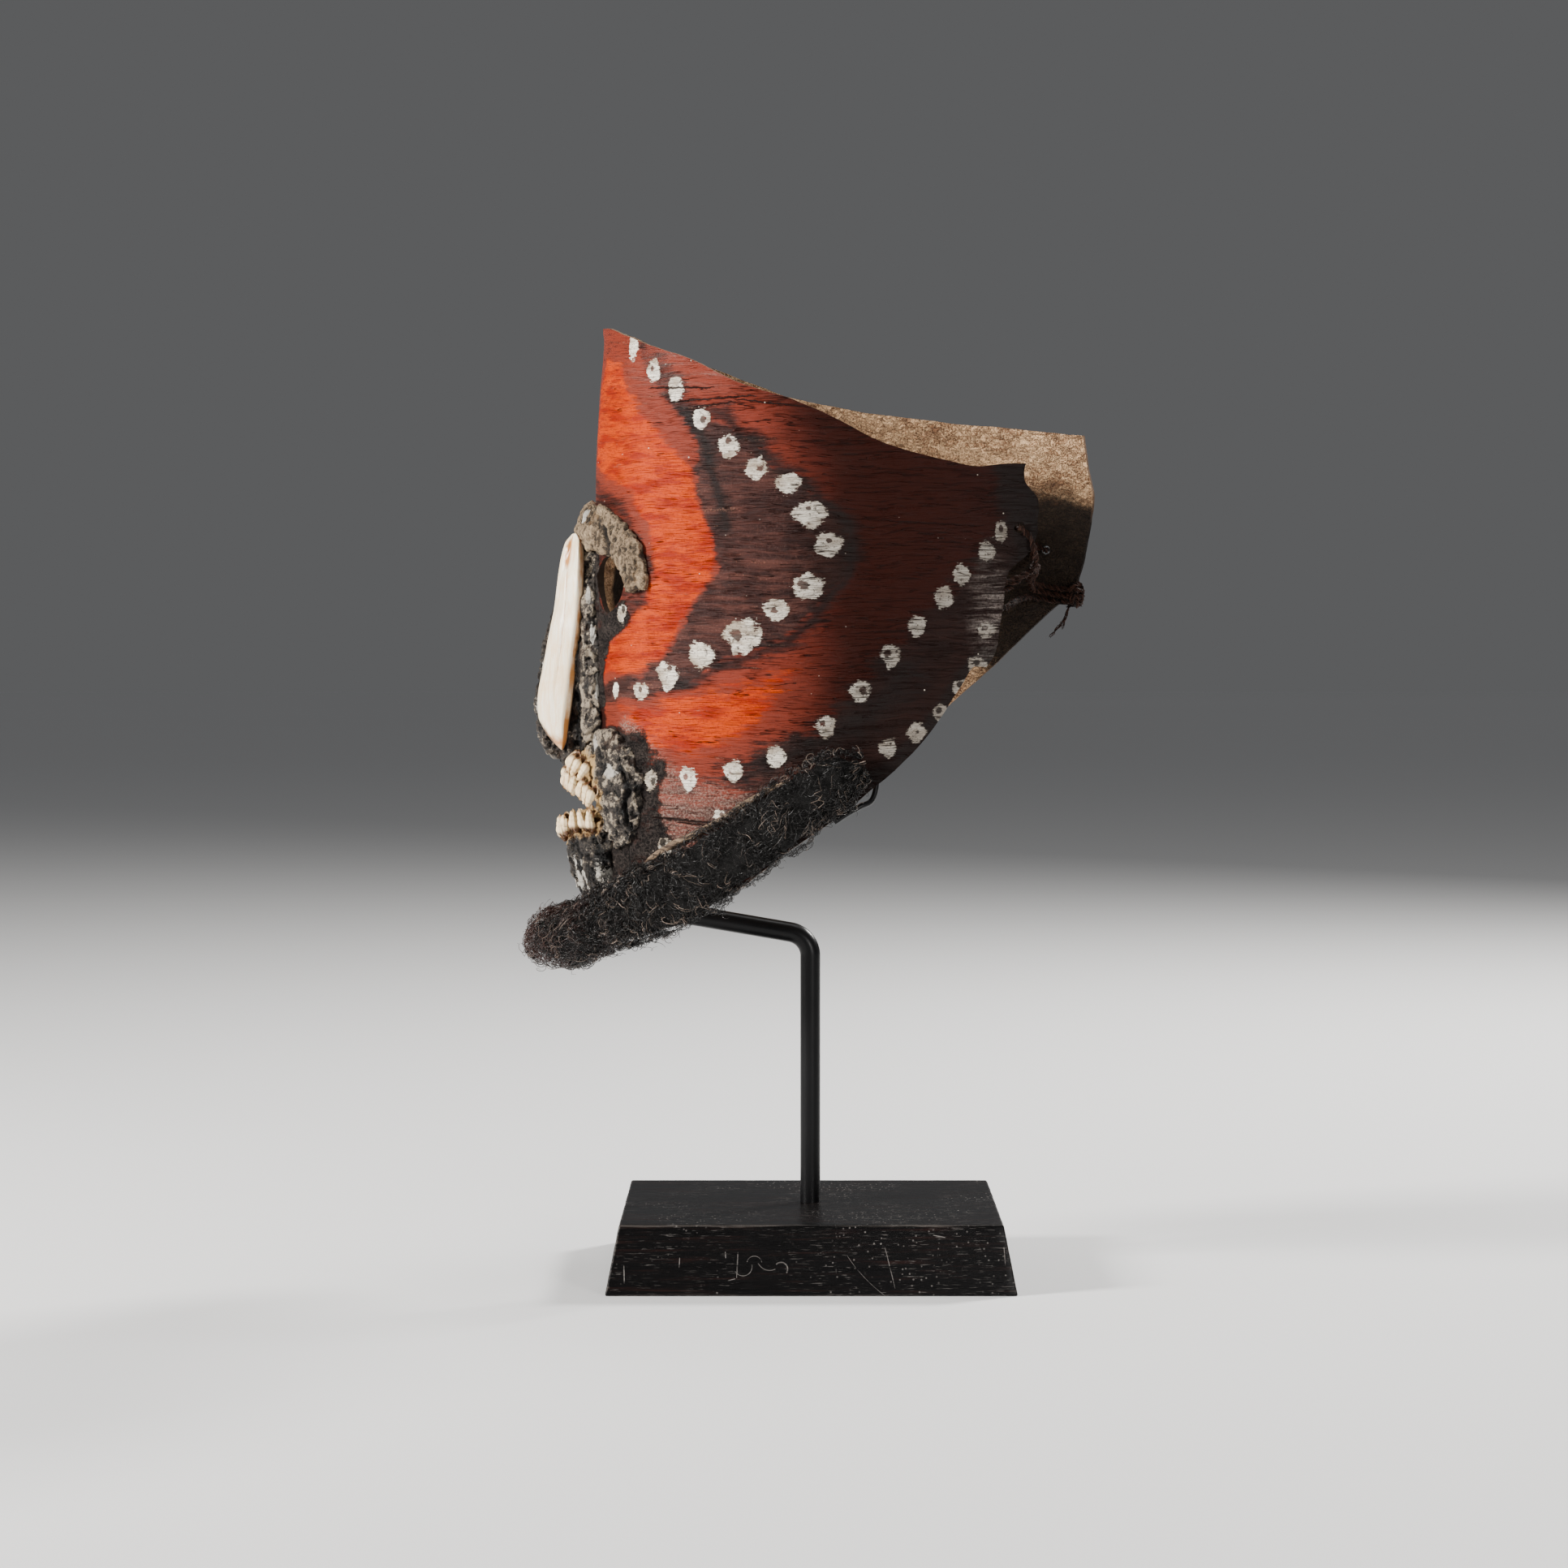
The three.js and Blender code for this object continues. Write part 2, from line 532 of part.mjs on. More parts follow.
// Clip: a wire inside the cheek, turned up under the sheet's lower edge and laid forwards along its outside
function clipBody(side, grow = 0) {
  const low = side < 0 ? leftLow : rightLow;
  const inside = -SHEET_THICKNESS - WIRE_RADIUS - GAP - 0.5;
  const outside = WIRE_RADIUS + GAP + 0.3;
  const drop = WIRE_RADIUS + 3;
  const at = (s, lift, off) => sheetPoint(side * s, low(s) + lift, off);
  const points = [sheetPoint(side * 26, 176, -18), sheetPoint(side * 60, 184, -8), at(100, 20, inside - 3),
    at(135, 17, inside - 1), at(151, 12, inside), at(154, 3, inside), at(152.5, -drop, -SHEET_THICKNESS / 2 - 0.6),
    at(148, -drop + 1.2, outside - 0.5), at(143.5, -1.8, outside + 0.4), at(138, -1.2, outside)];
  return tube(smoothPath(points, 28), WIRE_RADIUS + grow, 5);
}

// Stand: post, arm and upturned tip are one bent rod
function rodStations() {
  const up = new THREE.Vector3(0, 0, 1);
  const [rise, swing] = [radians(ARM_RISE), radians(ARM_SWING)];
  const forwards = new THREE.Vector3(-Math.cos(rise) * Math.cos(swing), Math.cos(rise) * Math.sin(swing),
    Math.sin(rise));
  const bend = (corner, from, to) => {
    const turn = from.angleTo(to);
    const start = corner.clone().addScaledVector(from, -ROD_BEND_RADIUS * Math.tan(turn / 2));
    const inward = to.clone().addScaledVector(from, -to.dot(from)).normalize();
    const steps = 6;
    return Array.from({ length: steps + 1 }, (_, k) => {
      const angle = turn * k / steps;
      return start.clone().addScaledVector(from, ROD_BEND_RADIUS * Math.sin(angle))
        .addScaledVector(inward, ROD_BEND_RADIUS * (1 - Math.cos(angle)));
    });
  };
  const rear = new THREE.Vector3(0, 0, ROD_CORNER_Z);
  const front = rear.clone().addScaledVector(forwards, ARM_REACH);
  return [new THREE.Vector3(0, 0, ROD_SOCKET_FLOOR), ...bend(rear, up, forwards), ...bend(front, forwards, up),
    front.clone().setZ(ARM_TIP_Z)];
}

function makeRod() {
  return tube(rodStations(), ROD_RADIUS, 12);
}

function makeBase() {
  const level = (length, depth, z) => [[1, 1], [-1, 1], [-1, -1], [1, -1]]
    .map(([a, b]) => new THREE.Vector3(a * length / 2, b * depth / 2, z));
  const topLength = BASE_LENGTH - 2 * BASE_TOP_INSET;
  const topDepth = BASE_DEPTH - 2 * BASE_TOP_INSET;
  const trim = 2 * BASE_CHAMFER;
  const block = loft([
    level(BASE_LENGTH - trim, BASE_DEPTH - trim, 0),
    level(BASE_LENGTH, BASE_DEPTH, BASE_CHAMFER),
    level(topLength, topDepth, BASE_TOP - BASE_CHAMFER),
    level(topLength - trim, topDepth - trim, BASE_TOP),
  ]);
  const socket = [ROD_SOCKET_FLOOR - GAP, BASE_TOP + 5].map(z => new THREE.Vector3(0, 0, z));
  return block.subtract(tube(socket, ROD_RADIUS + GAP, 20));
}

const finishes = {
  sheath: { color: 0x8c2f18, roughness: 0.42, metalness: 0 },
  resin: { color: 0x2b2724, roughness: 0.75, metalness: 0 },
  clay: { color: 0x6b5b49, roughness: 0.9, metalness: 0 },
  tusk: { color: 0xece0c8, roughness: 0.35, metalness: 0 },
  shell: { color: 0xd8c6a4, roughness: 0.45, metalness: 0 },
  hair: { color: 0x1d1512, roughness: 0.8, metalness: 0 },
  cane: { color: 0xa58a66, roughness: 0.7, metalness: 0 },
  cord: { color: 0x3a241a, roughness: 0.8, metalness: 0 },
  blackSteel: { color: 0x101012, roughness: 0.4, metalness: 0.6 },
  blackWood: { color: 0x15110f, roughness: 0.35, metalness: 0 },
};

function piece(name, solid, finish) {
  const mesh = new THREE.Mesh(geometryOf(solid), new THREE.MeshStandardMaterial(finishes[finish]));
  mesh.name = name;
  return mesh;
}

// The mask's own frame has its origin below the sheet's foremost line, with x towards the back of the head
function makeMask() {
  const sheetRoom = sheetBody(GAP, -14);
  const tuskRoom = tuskBody(-1, GAP).add(tuskBody(1, GAP));
  const shellRoom = joined(shells.map(shell => shellBody(shell, GAP)));
  const noseRoom = joined([browBody(GAP), upperLipBody(GAP), tuskRoom, shellRoom]);
  const beardRoom = joined([sheetRoom, chinBody(GAP), stripBody(-1, GAP), stripBody(1, GAP), clipBody(-1, GAP),
    clipBody(1, GAP)]);
  const mask = new THREE.Group();
  mask.position.set(FACE_X, FACE_Y, 0);
  mask.rotation.z = -radians(MASK_TURN);
  mask.add(
    piece('mask_sheet', makeSheet(), 'sheath'),
    piece('brow', largest(browBody().subtract(tuskRoom)), 'clay'),
    piece('nose', largest(noseBody().subtract(noseRoom)), 'resin'),
    piece('tusk_left', tuskBody(-1), 'tusk'),
    piece('tusk_right', tuskBody(1), 'tusk'),
    piece('upper_lip', largest(upperLipBody().subtract(shellRoom)), 'resin'),
    piece('chin', largest(chinBody().subtract(shellRoom)), 'resin'),
    ...shells.map(shell => piece(shell.name, shellBody(shell), 'shell')),
    piece('cane_strip_left', stripBody(-1), 'cane'),
    piece('cane_strip_right', stripBody(1), 'cane'),
    piece('beard', largest(beardBody().subtract(beardRoom)), 'hair'),
    piece('back_lashing', makeLashing(), 'cord'),
    piece('clip_left', clipBody(-1), 'blackSteel'),
    piece('clip_right', clipBody(1), 'blackSteel'),
  );
  return mask;
}

const part = new THREE.Group();
part.add(piece('base_block', makeBase(), 'blackWood'));
part.add(piece('stand_rod', makeRod(), 'blackSteel'));
part.add(makeMask());

export default part;
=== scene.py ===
import itertools
import math

import bmesh
import bpy
import numpy as np
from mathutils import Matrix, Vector


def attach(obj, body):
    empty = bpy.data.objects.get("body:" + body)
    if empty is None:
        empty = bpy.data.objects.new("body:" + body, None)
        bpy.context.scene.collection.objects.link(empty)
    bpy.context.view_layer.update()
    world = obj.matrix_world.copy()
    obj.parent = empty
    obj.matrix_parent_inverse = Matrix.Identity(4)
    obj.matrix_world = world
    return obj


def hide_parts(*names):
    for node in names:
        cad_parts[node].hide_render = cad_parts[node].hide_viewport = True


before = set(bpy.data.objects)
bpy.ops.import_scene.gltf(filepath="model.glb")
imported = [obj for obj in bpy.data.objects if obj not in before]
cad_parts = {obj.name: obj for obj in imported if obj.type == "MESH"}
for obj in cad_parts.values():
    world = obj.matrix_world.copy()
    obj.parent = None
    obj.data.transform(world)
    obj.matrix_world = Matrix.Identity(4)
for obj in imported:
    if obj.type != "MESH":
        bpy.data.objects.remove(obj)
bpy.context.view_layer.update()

# Camera: a long lens at the height of the mask, looking along +Y and two degrees down.
# The mask's left side faces it.

CAMERA_PLACE = (-0.0108, -1.698, 0.2596)
CAMERA_DOWN = math.radians(2.03)

camera = bpy.data.objects.new("camera", bpy.data.cameras.new("camera"))
bpy.context.scene.collection.objects.link(camera)
camera.location = CAMERA_PLACE
camera.rotation_euler = (math.pi / 2 - CAMERA_DOWN, 0, 0)
camera.data.sensor_width = 36
camera.data.lens = 95.14
camera.data.clip_end = 30
bpy.context.scene.camera = camera


# Stage: a pale paper floor that fades into a plain grey studio. The key lamp stands before the face, a weak
# one beside the camera, one behind on the right for the hollow and the edges, and one overhead.

def feed(tree, socket, value):
    """Links another node's output to a socket, or sets a plain value on it; a plain colour gets its alpha."""
    if isinstance(value, bpy.types.NodeSocket):
        tree.links.new(value, socket)
    elif socket.type == "RGBA":
        socket.default_value = (*value, 1)
    else:
        socket.default_value = value


def node(tree, kind, inputs=None, **settings):
    """A shader node with its settings, and its inputs by name or number."""
    made = tree.nodes.new("ShaderNode" + kind)
    for key, value in settings.items():
        setattr(made, key, value)
    for key, value in (inputs or {}).items():
        feed(tree, made.inputs[key], value)
    return made


def blend(tree, share, first, second):
    """The first colour where share is 0, the second where it is 1."""
    return node(tree, "Mix", {0: share, 6: first, 7: second}, data_type="RGBA").outputs[2]


def finish(name, **plain):
    """A new material, its tree and its Principled BSDF; plain values sit on the shader's own sockets."""
    material = bpy.data.materials.new(name)
    material.use_nodes = True
    tree = material.node_tree
    shader = tree.nodes["Principled BSDF"]
    for key, value in plain.items():
        shader.inputs[key.replace("_", " ")].default_value = value
    return material, tree, shader


floor_paper, tree, shader = finish("floor_paper", Roughness=0.75)
clouds = node(tree, "TexNoise", {"Scale": 3.0, "Detail": 3.0}).outputs["Fac"]
tree.links.new(blend(tree, clouds, (0.66, 0.66, 0.66), (0.72, 0.72, 0.72)), shader.inputs["Base Color"])

bpy.ops.mesh.primitive_plane_add(size=24, location=(0, 6, 0))
floor = bpy.context.object
floor.name = "floor"
floor.data.materials.append(floor_paper)

STUDIO_GREY = (0.80, 0.81, 0.83)

# The studio gives a little more light than the camera sees of it, so it stays calm behind the mask.
world = bpy.data.worlds.new("studio")
bpy.context.scene.world = world
world.use_nodes = True
tree = world.node_tree
lights = node(tree, "Background", {"Color": STUDIO_GREY, "Strength": 0.19})
shows = node(tree, "Background", {"Color": STUDIO_GREY, "Strength": 0.137})
is_seen = node(tree, "LightPath").outputs["Is Camera Ray"]
either = node(tree, "MixShader", {0: is_seen, 1: lights.outputs[0], 2: shows.outputs[0]})
tree.links.new(either.outputs[0], tree.nodes["World Output"].inputs["Surface"])

# Each lamp: (place, what it points at, width, watts, colour)
LAMPS = {
    "key": ((-1.68, -0.66, 0.92), (-0.03, 0.0, 0.24), 0.42, 92.0, (1.0, 0.975, 0.94)),
    "front": ((0.85, -1.75, 0.55), (0.05, 0.0, 0.28), 0.30, 18.0, (1.0, 0.98, 0.96)),
    "rear": ((1.25, 1.20, 1.30), (0.02, 0.0, 0.28), 0.40, 74.0, (1.0, 0.98, 0.95)),
    "top": ((0.25, 0.35, 1.55), (0.02, 0.0, 0.30), 0.80, 12.0, (1.0, 0.99, 0.98)),
}
for name, (place, target, size, power, colour) in LAMPS.items():
    lamp = bpy.data.objects.new(name + "_lamp", bpy.data.lights.new(name, "AREA"))
    bpy.context.scene.collection.objects.link(lamp)
    lamp.location = place
    lamp.rotation_euler = (Vector(target) - Vector(place)).to_track_quat("-Z", "Y").to_euler()
    lamp.data.size = size
    lamp.data.energy = power
    lamp.data.color = colour


# Base block: a block of close-grained wood, stained black and waxed. Its sides slope in, its arrises are a
# little rubbed, and the front carries fine scratches.

def grid_noise(points, size, seed=0, octaves=3):
    """Smooth noise from -1 to 1 at each point, with lumps of about the given size."""
    total, weight, value = 0.0, 1.0, np.zeros(len(points))
    for octave in range(octaves):
        scaled = points / size * 2 ** octave + 17.3 * octave
        cell = np.floor(scaled)
        part = scaled - cell
        part = part * part * (3 - 2 * part)
        cell = cell.astype(np.int64)
        for corner in itertools.product((0, 1), repeat=3):
            share = np.prod(np.where(corner, part, 1 - part), axis=1)
            x, y, z = (cell + corner).T
            mixed = x * 374761393 + y * 668265263 + z * 1442695041 + (seed + octave) * 1274126177
            mixed = mixed & 0xFFFFFFFF
            mixed = ((mixed ^ (mixed >> 13)) * 1274126177) & 0xFFFFFFFF
            value += weight * share * ((mixed ^ (mixed >> 16)) & 0xFFFF) / 65535
        total += weight
        weight *= 0.5
    return value / total * 2 - 1


def new_piece(name, points, faces, materials, replaces=(), finish_of_face=None, crease=40):
    """A mesh object from an array of points, in metres, and a list of arrays of faces. It rides on root."""
    mesh = bpy.data.meshes.new(name)
    mesh.vertices.add(len(points))
    mesh.vertices.foreach_set("co", np.asarray(points, np.float32).ravel())
    corners = np.concatenate([alike.ravel() for alike in faces])
    sizes = np.concatenate([np.full(len(alike), alike.shape[1]) for alike in faces])
    mesh.loops.add(len(corners))
    mesh.loops.foreach_set("vertex_index", corners.astype(np.int32))
    mesh.polygons.add(len(sizes))
    mesh.polygons.foreach_set("loop_start", np.concatenate([[0], np.cumsum(sizes)[:-1]]).astype(np.int32))
    if finish_of_face is not None:
        mesh.polygons.foreach_set("material_index", finish_of_face.astype(np.int32))
    mesh.update(calc_edges=True)
    mesh.validate()
    mesh.shade_smooth()
    mesh.set_sharp_from_angle(angle=math.radians(crease))
    for material in materials:
        mesh.materials.append(material)
    piece = bpy.data.objects.new(name, mesh)
    bpy.context.scene.collection.objects.link(piece)
    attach(piece, "root")
    if replaces:
        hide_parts(*replaces)
    return piece


def give(piece, name, values):
    """Stores one number, or one triple, for each point of the mesh, for the material to read."""
    values = np.asarray(values, np.float32)
    kind, key = ("FLOAT_VECTOR", "vector") if values.ndim == 2 else ("FLOAT", "value")
    piece.data.attributes.new(name, kind, "POINT").data.foreach_set(key, values.ravel())


def attribute(tree, name, output="Fac"):
    """What the mesh stores under this name."""
    return node(tree, "Attribute", attribute_name=name).outputs[output]


def maths(tree, operation, *values, clamp=False):
    return node(tree, "Math", dict(enumerate(values)), operation=operation, use_clamp=clamp).outputs[0]


def vectors(tree, operation, *values):
    return node(tree, "VectorMath", dict(enumerate(values)), operation=operation).outputs[0]


def times(tree, product, *others):
    """All the values multiplied."""
    for other in others:
        product = maths(tree, "MULTIPLY", product, other)
    return product


def most(tree, greatest, *others):
    """The greatest of the values."""
    for other in others:
        greatest = maths(tree, "MAXIMUM", greatest, other)
    return greatest


def summed(tree, total, *terms):
    """The total plus each (value, factor) multiplied."""
    for value, factor in terms:
        total = maths(tree, "MULTIPLY_ADD", value, factor, total)
    return total


def rest(tree, value):
    """What is left of 1."""
    return maths(tree, "SUBTRACT", 1.0, value)


def step(tree, value, low, high):
    """0 below low, 1 above high, smooth between; low may be the larger for the reverse."""
    return node(tree, "MapRange", {"Value": value, "From Min": low, "From Max": high},
                interpolation_type="SMOOTHSTEP").outputs["Result"]


def noise(tree, vector, scale, detail, roughness=0.5, distortion=0.0):
    """Cloudy noise round 0.5."""
    return node(tree, "TexNoise", {"Vector": vector, "Scale": scale, "Detail": detail, "Roughness": roughness,
                                   "Distortion": distortion}).outputs["Fac"]


def cells(tree, vector, scale, feature="F1", output="Distance"):
    """How far it is to the middle, or to the edge, of scattered cells."""
    return node(tree, "TexVoronoi", {"Vector": vector, "Scale": scale}, feature=feature).outputs[output]


def stretched(tree, vector, by):
    """The vector with its parts multiplied, which draws a pattern out where a factor is small."""
    return vectors(tree, "MULTIPLY", vector, by)


def cover(tree, under, over, where, strength):
    """One colour laid over another where the mask is 1, as thickly as strength says."""
    return blend(tree, times(tree, where, strength), under, over)


def dress(tree, shader, colour, height, strength, depth, roughness=None):
    """Feeds a finish its colour, its bump, with the depth in metres, and the roughness where that changes."""
    tree.links.new(colour, shader.inputs["Base Color"])
    if roughness is not None:
        tree.links.new(roughness, shader.inputs["Roughness"])
    bump = node(tree, "Bump", {"Height": height, "Strength": strength, "Distance": depth})
    tree.links.new(bump.outputs["Normal"], shader.inputs["Normal"])


def group(name, inputs, outputs):
    """An empty shader group with the named number or vector sockets, and its inner in and out nodes."""
    tree = bpy.data.node_groups.new(name, "ShaderNodeTree")
    for direction, sockets in (("INPUT", inputs), ("OUTPUT", outputs)):
        for label, kind in sockets.items():
            tree.interface.new_socket(label, in_out=direction, socket_type="NodeSocket" + kind)
    return tree, tree.nodes.new("NodeGroupInput").outputs, tree.nodes.new("NodeGroupOutput").inputs


def placed(tree, made_group, inputs):
    """The outputs of a shader group, placed in a material with its own values."""
    return node(tree, "Group", inputs, node_tree=made_group).outputs


# Long fibres that run one way: a vector stretched along them gives streaks, pores and a height.
fibres, given, wanted = group(
    "fibres",
    {"Vector": "Vector", "Stretch": "Vector", "Scale": "Float", "Waver": "Float"},
    {"Streaks": "Float", "Pores": "Float", "Height": "Float"},
)
bend = node(fibres, "TexNoise", {"Vector": given["Vector"], "Scale": 0.12, "Detail": 2.0}).outputs["Color"]
bend_by = vectors(fibres, "SUBTRACT", bend, (0.5, 0.5, 0.5))
bend_by = node(fibres, "VectorMath", {0: bend_by, "Scale": given["Waver"]}, operation="SCALE").outputs[0]
drawn = stretched(fibres, vectors(fibres, "ADD", given["Vector"], bend_by), given["Stretch"])
coarse = noise(fibres, drawn, given["Scale"], 6.0, 0.62)
fine = noise(fibres, drawn, times(fibres, given["Scale"], 3.7), 3.0, 0.7)
fibres.links.new(coarse, wanted["Streaks"])
fibres.links.new(step(fibres, fine, 0.44, 0.30), wanted["Pores"])
fibres.links.new(summed(fibres, 0.0, (fine, 0.5), (coarse, 0.5)), wanted["Height"])

# A scratch along part of a circle, in the plane of the vector's X and Z.
scratch, given, wanted = group(
    "scratch",
    {"Vector": "Vector", "Centre": "Vector", "Radius": "Float", "Width": "Float", "From": "Float",
     "To": "Float"},
    {"Mark": "Float"},
)
away = vectors(scratch, "SUBTRACT", given["Vector"], given["Centre"])
away = node(scratch, "SeparateXYZ", {"Vector": away}).outputs
flat = node(scratch, "CombineXYZ", {"X": away["X"], "Z": away["Z"]}).outputs[0]
reach = node(scratch, "VectorMath", {0: flat}, operation="LENGTH").outputs["Value"]
off_line = maths(scratch, "ABSOLUTE", maths(scratch, "SUBTRACT", reach, given["Radius"]))
turn = maths(scratch, "ARCTAN2", away["Z"], away["X"])
after = maths(scratch, "GREATER_THAN", turn, given["From"])
before = maths(scratch, "LESS_THAN", turn, given["To"])
scratch.links.new(times(scratch, after, before, step(scratch, off_line, given["Width"], 0.0)), wanted["Mark"])

# A straight slit or scratch from one point to another, tapering to both ends.
slit, given, wanted = group(
    "slit",
    {"Vector": "Vector", "Start": "Vector", "End": "Vector", "Width": "Float"},
    {"Mark": "Float"},
)
way = vectors(slit, "SUBTRACT", given["End"], given["Start"])
from_start = vectors(slit, "SUBTRACT", given["Vector"], given["Start"])
done = node(slit, "VectorMath", {0: from_start, 1: way}, operation="DOT_PRODUCT").outputs["Value"]
length = node(slit, "VectorMath", {0: way, 1: way}, operation="DOT_PRODUCT").outputs["Value"]
share = maths(slit, "DIVIDE", done, length, clamp=True)
nearest = node(slit, "VectorMath", {0: way, "Scale": share}, operation="SCALE").outputs[0]
gap = node(slit, "VectorMath", {0: from_start, 1: nearest}, operation="DISTANCE").outputs["Value"]
taper = maths(slit, "POWER", times(slit, share, rest(slit, share), 4.0), 0.4)
half = summed(slit, 0.00001, (given["Width"], taper))
slit.links.new(step(slit, maths(slit, "DIVIDE", gap, half), 1.0, 0.35), wanted["Mark"])

BLOCK_LENGTH, BLOCK_DEPTH, BLOCK_HEIGHT = 0.163, 0.147, 0.0275
BLOCK_SLOPE = 0.0054
BLOCK_ARRIS = 0.0009
BLOCK_CELLS = (44, 40, 9)
INSIDE_ARRIS = 0.985

# The faces are cut into small ones, so that the sides can be a little uneven.
shape = bmesh.new()
rows = [(BLOCK_LENGTH / 2, BLOCK_DEPTH / 2, 0.0),
        (BLOCK_LENGTH / 2 - BLOCK_SLOPE, BLOCK_DEPTH / 2 - BLOCK_SLOPE, BLOCK_HEIGHT)]
rings = [[shape.verts.new((a * x, b * y, z)) for a, b in ((1, 1), (-1, 1), (-1, -1), (1, -1))]
         for x, y, z in rows]
shape.faces.new(list(reversed(rings[0])))
shape.faces.new(rings[1])
for k in range(4):
    shape.faces.new((rings[0][k], rings[0][(k + 1) % 4], rings[1][(k + 1) % 4], rings[1][k]))
bmesh.ops.bevel(shape, geom=shape.edges[:], offset=BLOCK_ARRIS, segments=3, profile=0.6, affect="EDGES")
across, over, upward = BLOCK_CELLS
planes = [(BLOCK_LENGTH / 2 * (2 * k / across - 1) * INSIDE_ARRIS, 0) for k in range(1, across)]
planes += [(BLOCK_DEPTH / 2 * (2 * k / over - 1) * INSIDE_ARRIS, 1) for k in range(1, over)]
planes += [(BLOCK_HEIGHT * k / upward, 2) for k in range(1, upward)]
for at, direction in planes:
    normal = np.eye(3)[direction]
    geometry = shape.verts[:] + shape.edges[:] + shape.faces[:]
    bmesh.ops.bisect_plane(shape, geom=geometry, plane_co=normal * at, plane_no=normal)
shape.verts.index_update()
points = np.array([v.co for v in shape.verts])
faces = [np.array([[v.index for v in f.verts] for f in shape.faces if len(f.verts) == n])
         for n in sorted({len(f.verts) for f in shape.faces})]
shape.free()
rise = points[:, 2] / BLOCK_HEIGHT
from_x = BLOCK_LENGTH / 2 - BLOCK_SLOPE * rise - np.abs(points[:, 0])
from_y = BLOCK_DEPTH / 2 - BLOCK_SLOPE * rise - np.abs(points[:, 1])
from_z = np.minimum(points[:, 2], BLOCK_HEIGHT - points[:, 2])
near_arris = np.sort(np.stack([from_x, from_y, from_z]), axis=0)[1]
rub = np.clip(1 - near_arris / 0.003, 0, 1)
uneven = 0.00018 * grid_noise(points, 0.03, 3) + 0.00045 * rub * grid_noise(points, 0.005, 4)
centre = np.array([0, 0, BLOCK_HEIGHT / 2])
inwards = (centre - points) / np.linalg.norm(centre - points, axis=1)[:, None]
inwards[points[:, 2] < 0.0015] = 0
points = points + inwards * np.abs(uneven)[:, None]

STAIN_BLACK, STAIN_BROWN = (0.0022, 0.0020, 0.0021), (0.0110, 0.0042, 0.0034)
RUBBED_WOOD, SCRATCHED_WOOD = (0.060, 0.053, 0.048), (0.17, 0.155, 0.145)
# Dull marks, each kind drawn out its own way: (stretch, how few)
DASHES = [((190.0, 2200.0, 2200.0), 0.60), ((60.0, 1500.0, 1500.0), 0.655), ((1100.0, 900.0, 160.0), 0.70)]
# Curled scratches on the front, in millimetres and radians: (centre x, centre z, radius, width, from, to)
CURLED = [(64.0, 49.0, 60.0, 0.17, -2.55, -2.18), (-27.0, 11.5, 3.6, 0.22, -2.60, 0.20),
          (-22.5, 12.5, 3.0, 0.20, 0.20, 2.90), (-16.5, 15.0, 5.0, 0.26, -2.70, -1.10),
          (-12.0, 10.5, 2.6, 0.40, -0.60, 2.40)]
# Straight ones: (x, z) to (x, z) and width
STRAIGHT = [(-29.0, 17.0, -29.5, 7.0, 0.28), (-34.0, 17.2, -33.8, 14.6, 0.30), (-33.0, 6.0, -30.0, 6.8, 0.24),
            (29.0, 19.0, 33.0, 3.0, 0.22), (76.0, 19.0, 76.5, 12.0, 0.24), (-74.0, 12.0, -73.8, 5.0, 0.30),
            (48.0, 23.6, 53.0, 22.6, 0.30), (-52.0, 15.0, -52.2, 11.0, 0.24)]

black_wood, tree, shader = finish("black_wood", Specular_IOR_Level=0.11)
spot = node(tree, "TexCoord").outputs["Object"]
wood = placed(tree, fibres, {"Vector": spot, "Stretch": (14.0, 320.0, 320.0), "Scale": 2.0, "Waver": 0.002})
patches = noise(tree, spot, 30.0, 3.0)
specks = times(tree, step(tree, cells(tree, spot, 420.0), 0.20, 0.10), step(tree, patches, 0.44, 0.66))
dashes = [step(tree, noise(tree, stretched(tree, spot, drawn), 1.0, 3.0, 0.6), least, least + 0.10)
          for drawn, least in DASHES]
dash = most(tree, dashes[0], dashes[1], times(tree, dashes[2], 0.5))
dash = times(tree, dash, step(tree, patches, 0.30, 0.60))
scratched = 0.0
for x, z, radius, width, start, end in CURLED:
    mark = placed(tree, scratch, {"Vector": spot, "Centre": (x * 0.001, 0.0, z * 0.001),
                                  "Radius": radius * 0.001, "Width": width * 0.001,
                                  "From": start, "To": end})["Mark"]
    scratched = most(tree, scratched, mark)
flat_spot = stretched(tree, spot, (1.0, 0.0, 1.0))
for x1, z1, x2, z2, width in STRAIGHT:
    mark = placed(tree, slit, {"Vector": flat_spot, "Start": (x1 * 0.001, 0.0, z1 * 0.001),
                               "End": (x2 * 0.001, 0.0, z2 * 0.001), "Width": width * 0.001})["Mark"]
    scratched = most(tree, scratched, mark)
on_front = step(tree, node(tree, "SeparateXYZ", {"Vector": spot}).outputs["Y"], -0.0655, -0.0670)
scratched = times(tree, scratched, on_front, step(tree, wood["Streaks"], 0.30, 0.56))
rubbed = step(tree, summed(tree, wood["Streaks"], (attribute(tree, "rub"), 0.80)), 1.10, 1.34)
colour = blend(tree, step(tree, wood["Streaks"], 0.50, 0.74), STAIN_BLACK, STAIN_BROWN)
colour = cover(tree, colour, RUBBED_WOOD, rubbed, 0.8)
pale = most(tree, times(tree, dash, 0.42), times(tree, specks, 0.8), times(tree, scratched, 0.75))
colour = blend(tree, pale, colour, SCRATCHED_WOOD)
roughness = summed(tree, 0.18, (wood["Streaks"], 0.25), (pale, 0.3))
dress(tree, shader, colour, summed(tree, wood["Height"], (scratched, -0.7)), 0.5, 0.0004, roughness)

block = new_piece("black_block", points, faces, [black_wood], ["base_block"])
give(block, "rub", rub)


# Rod: one steel rod, bent twice and painted satin black. It is let into the block and turns up again inside
# the chin, behind the mask.

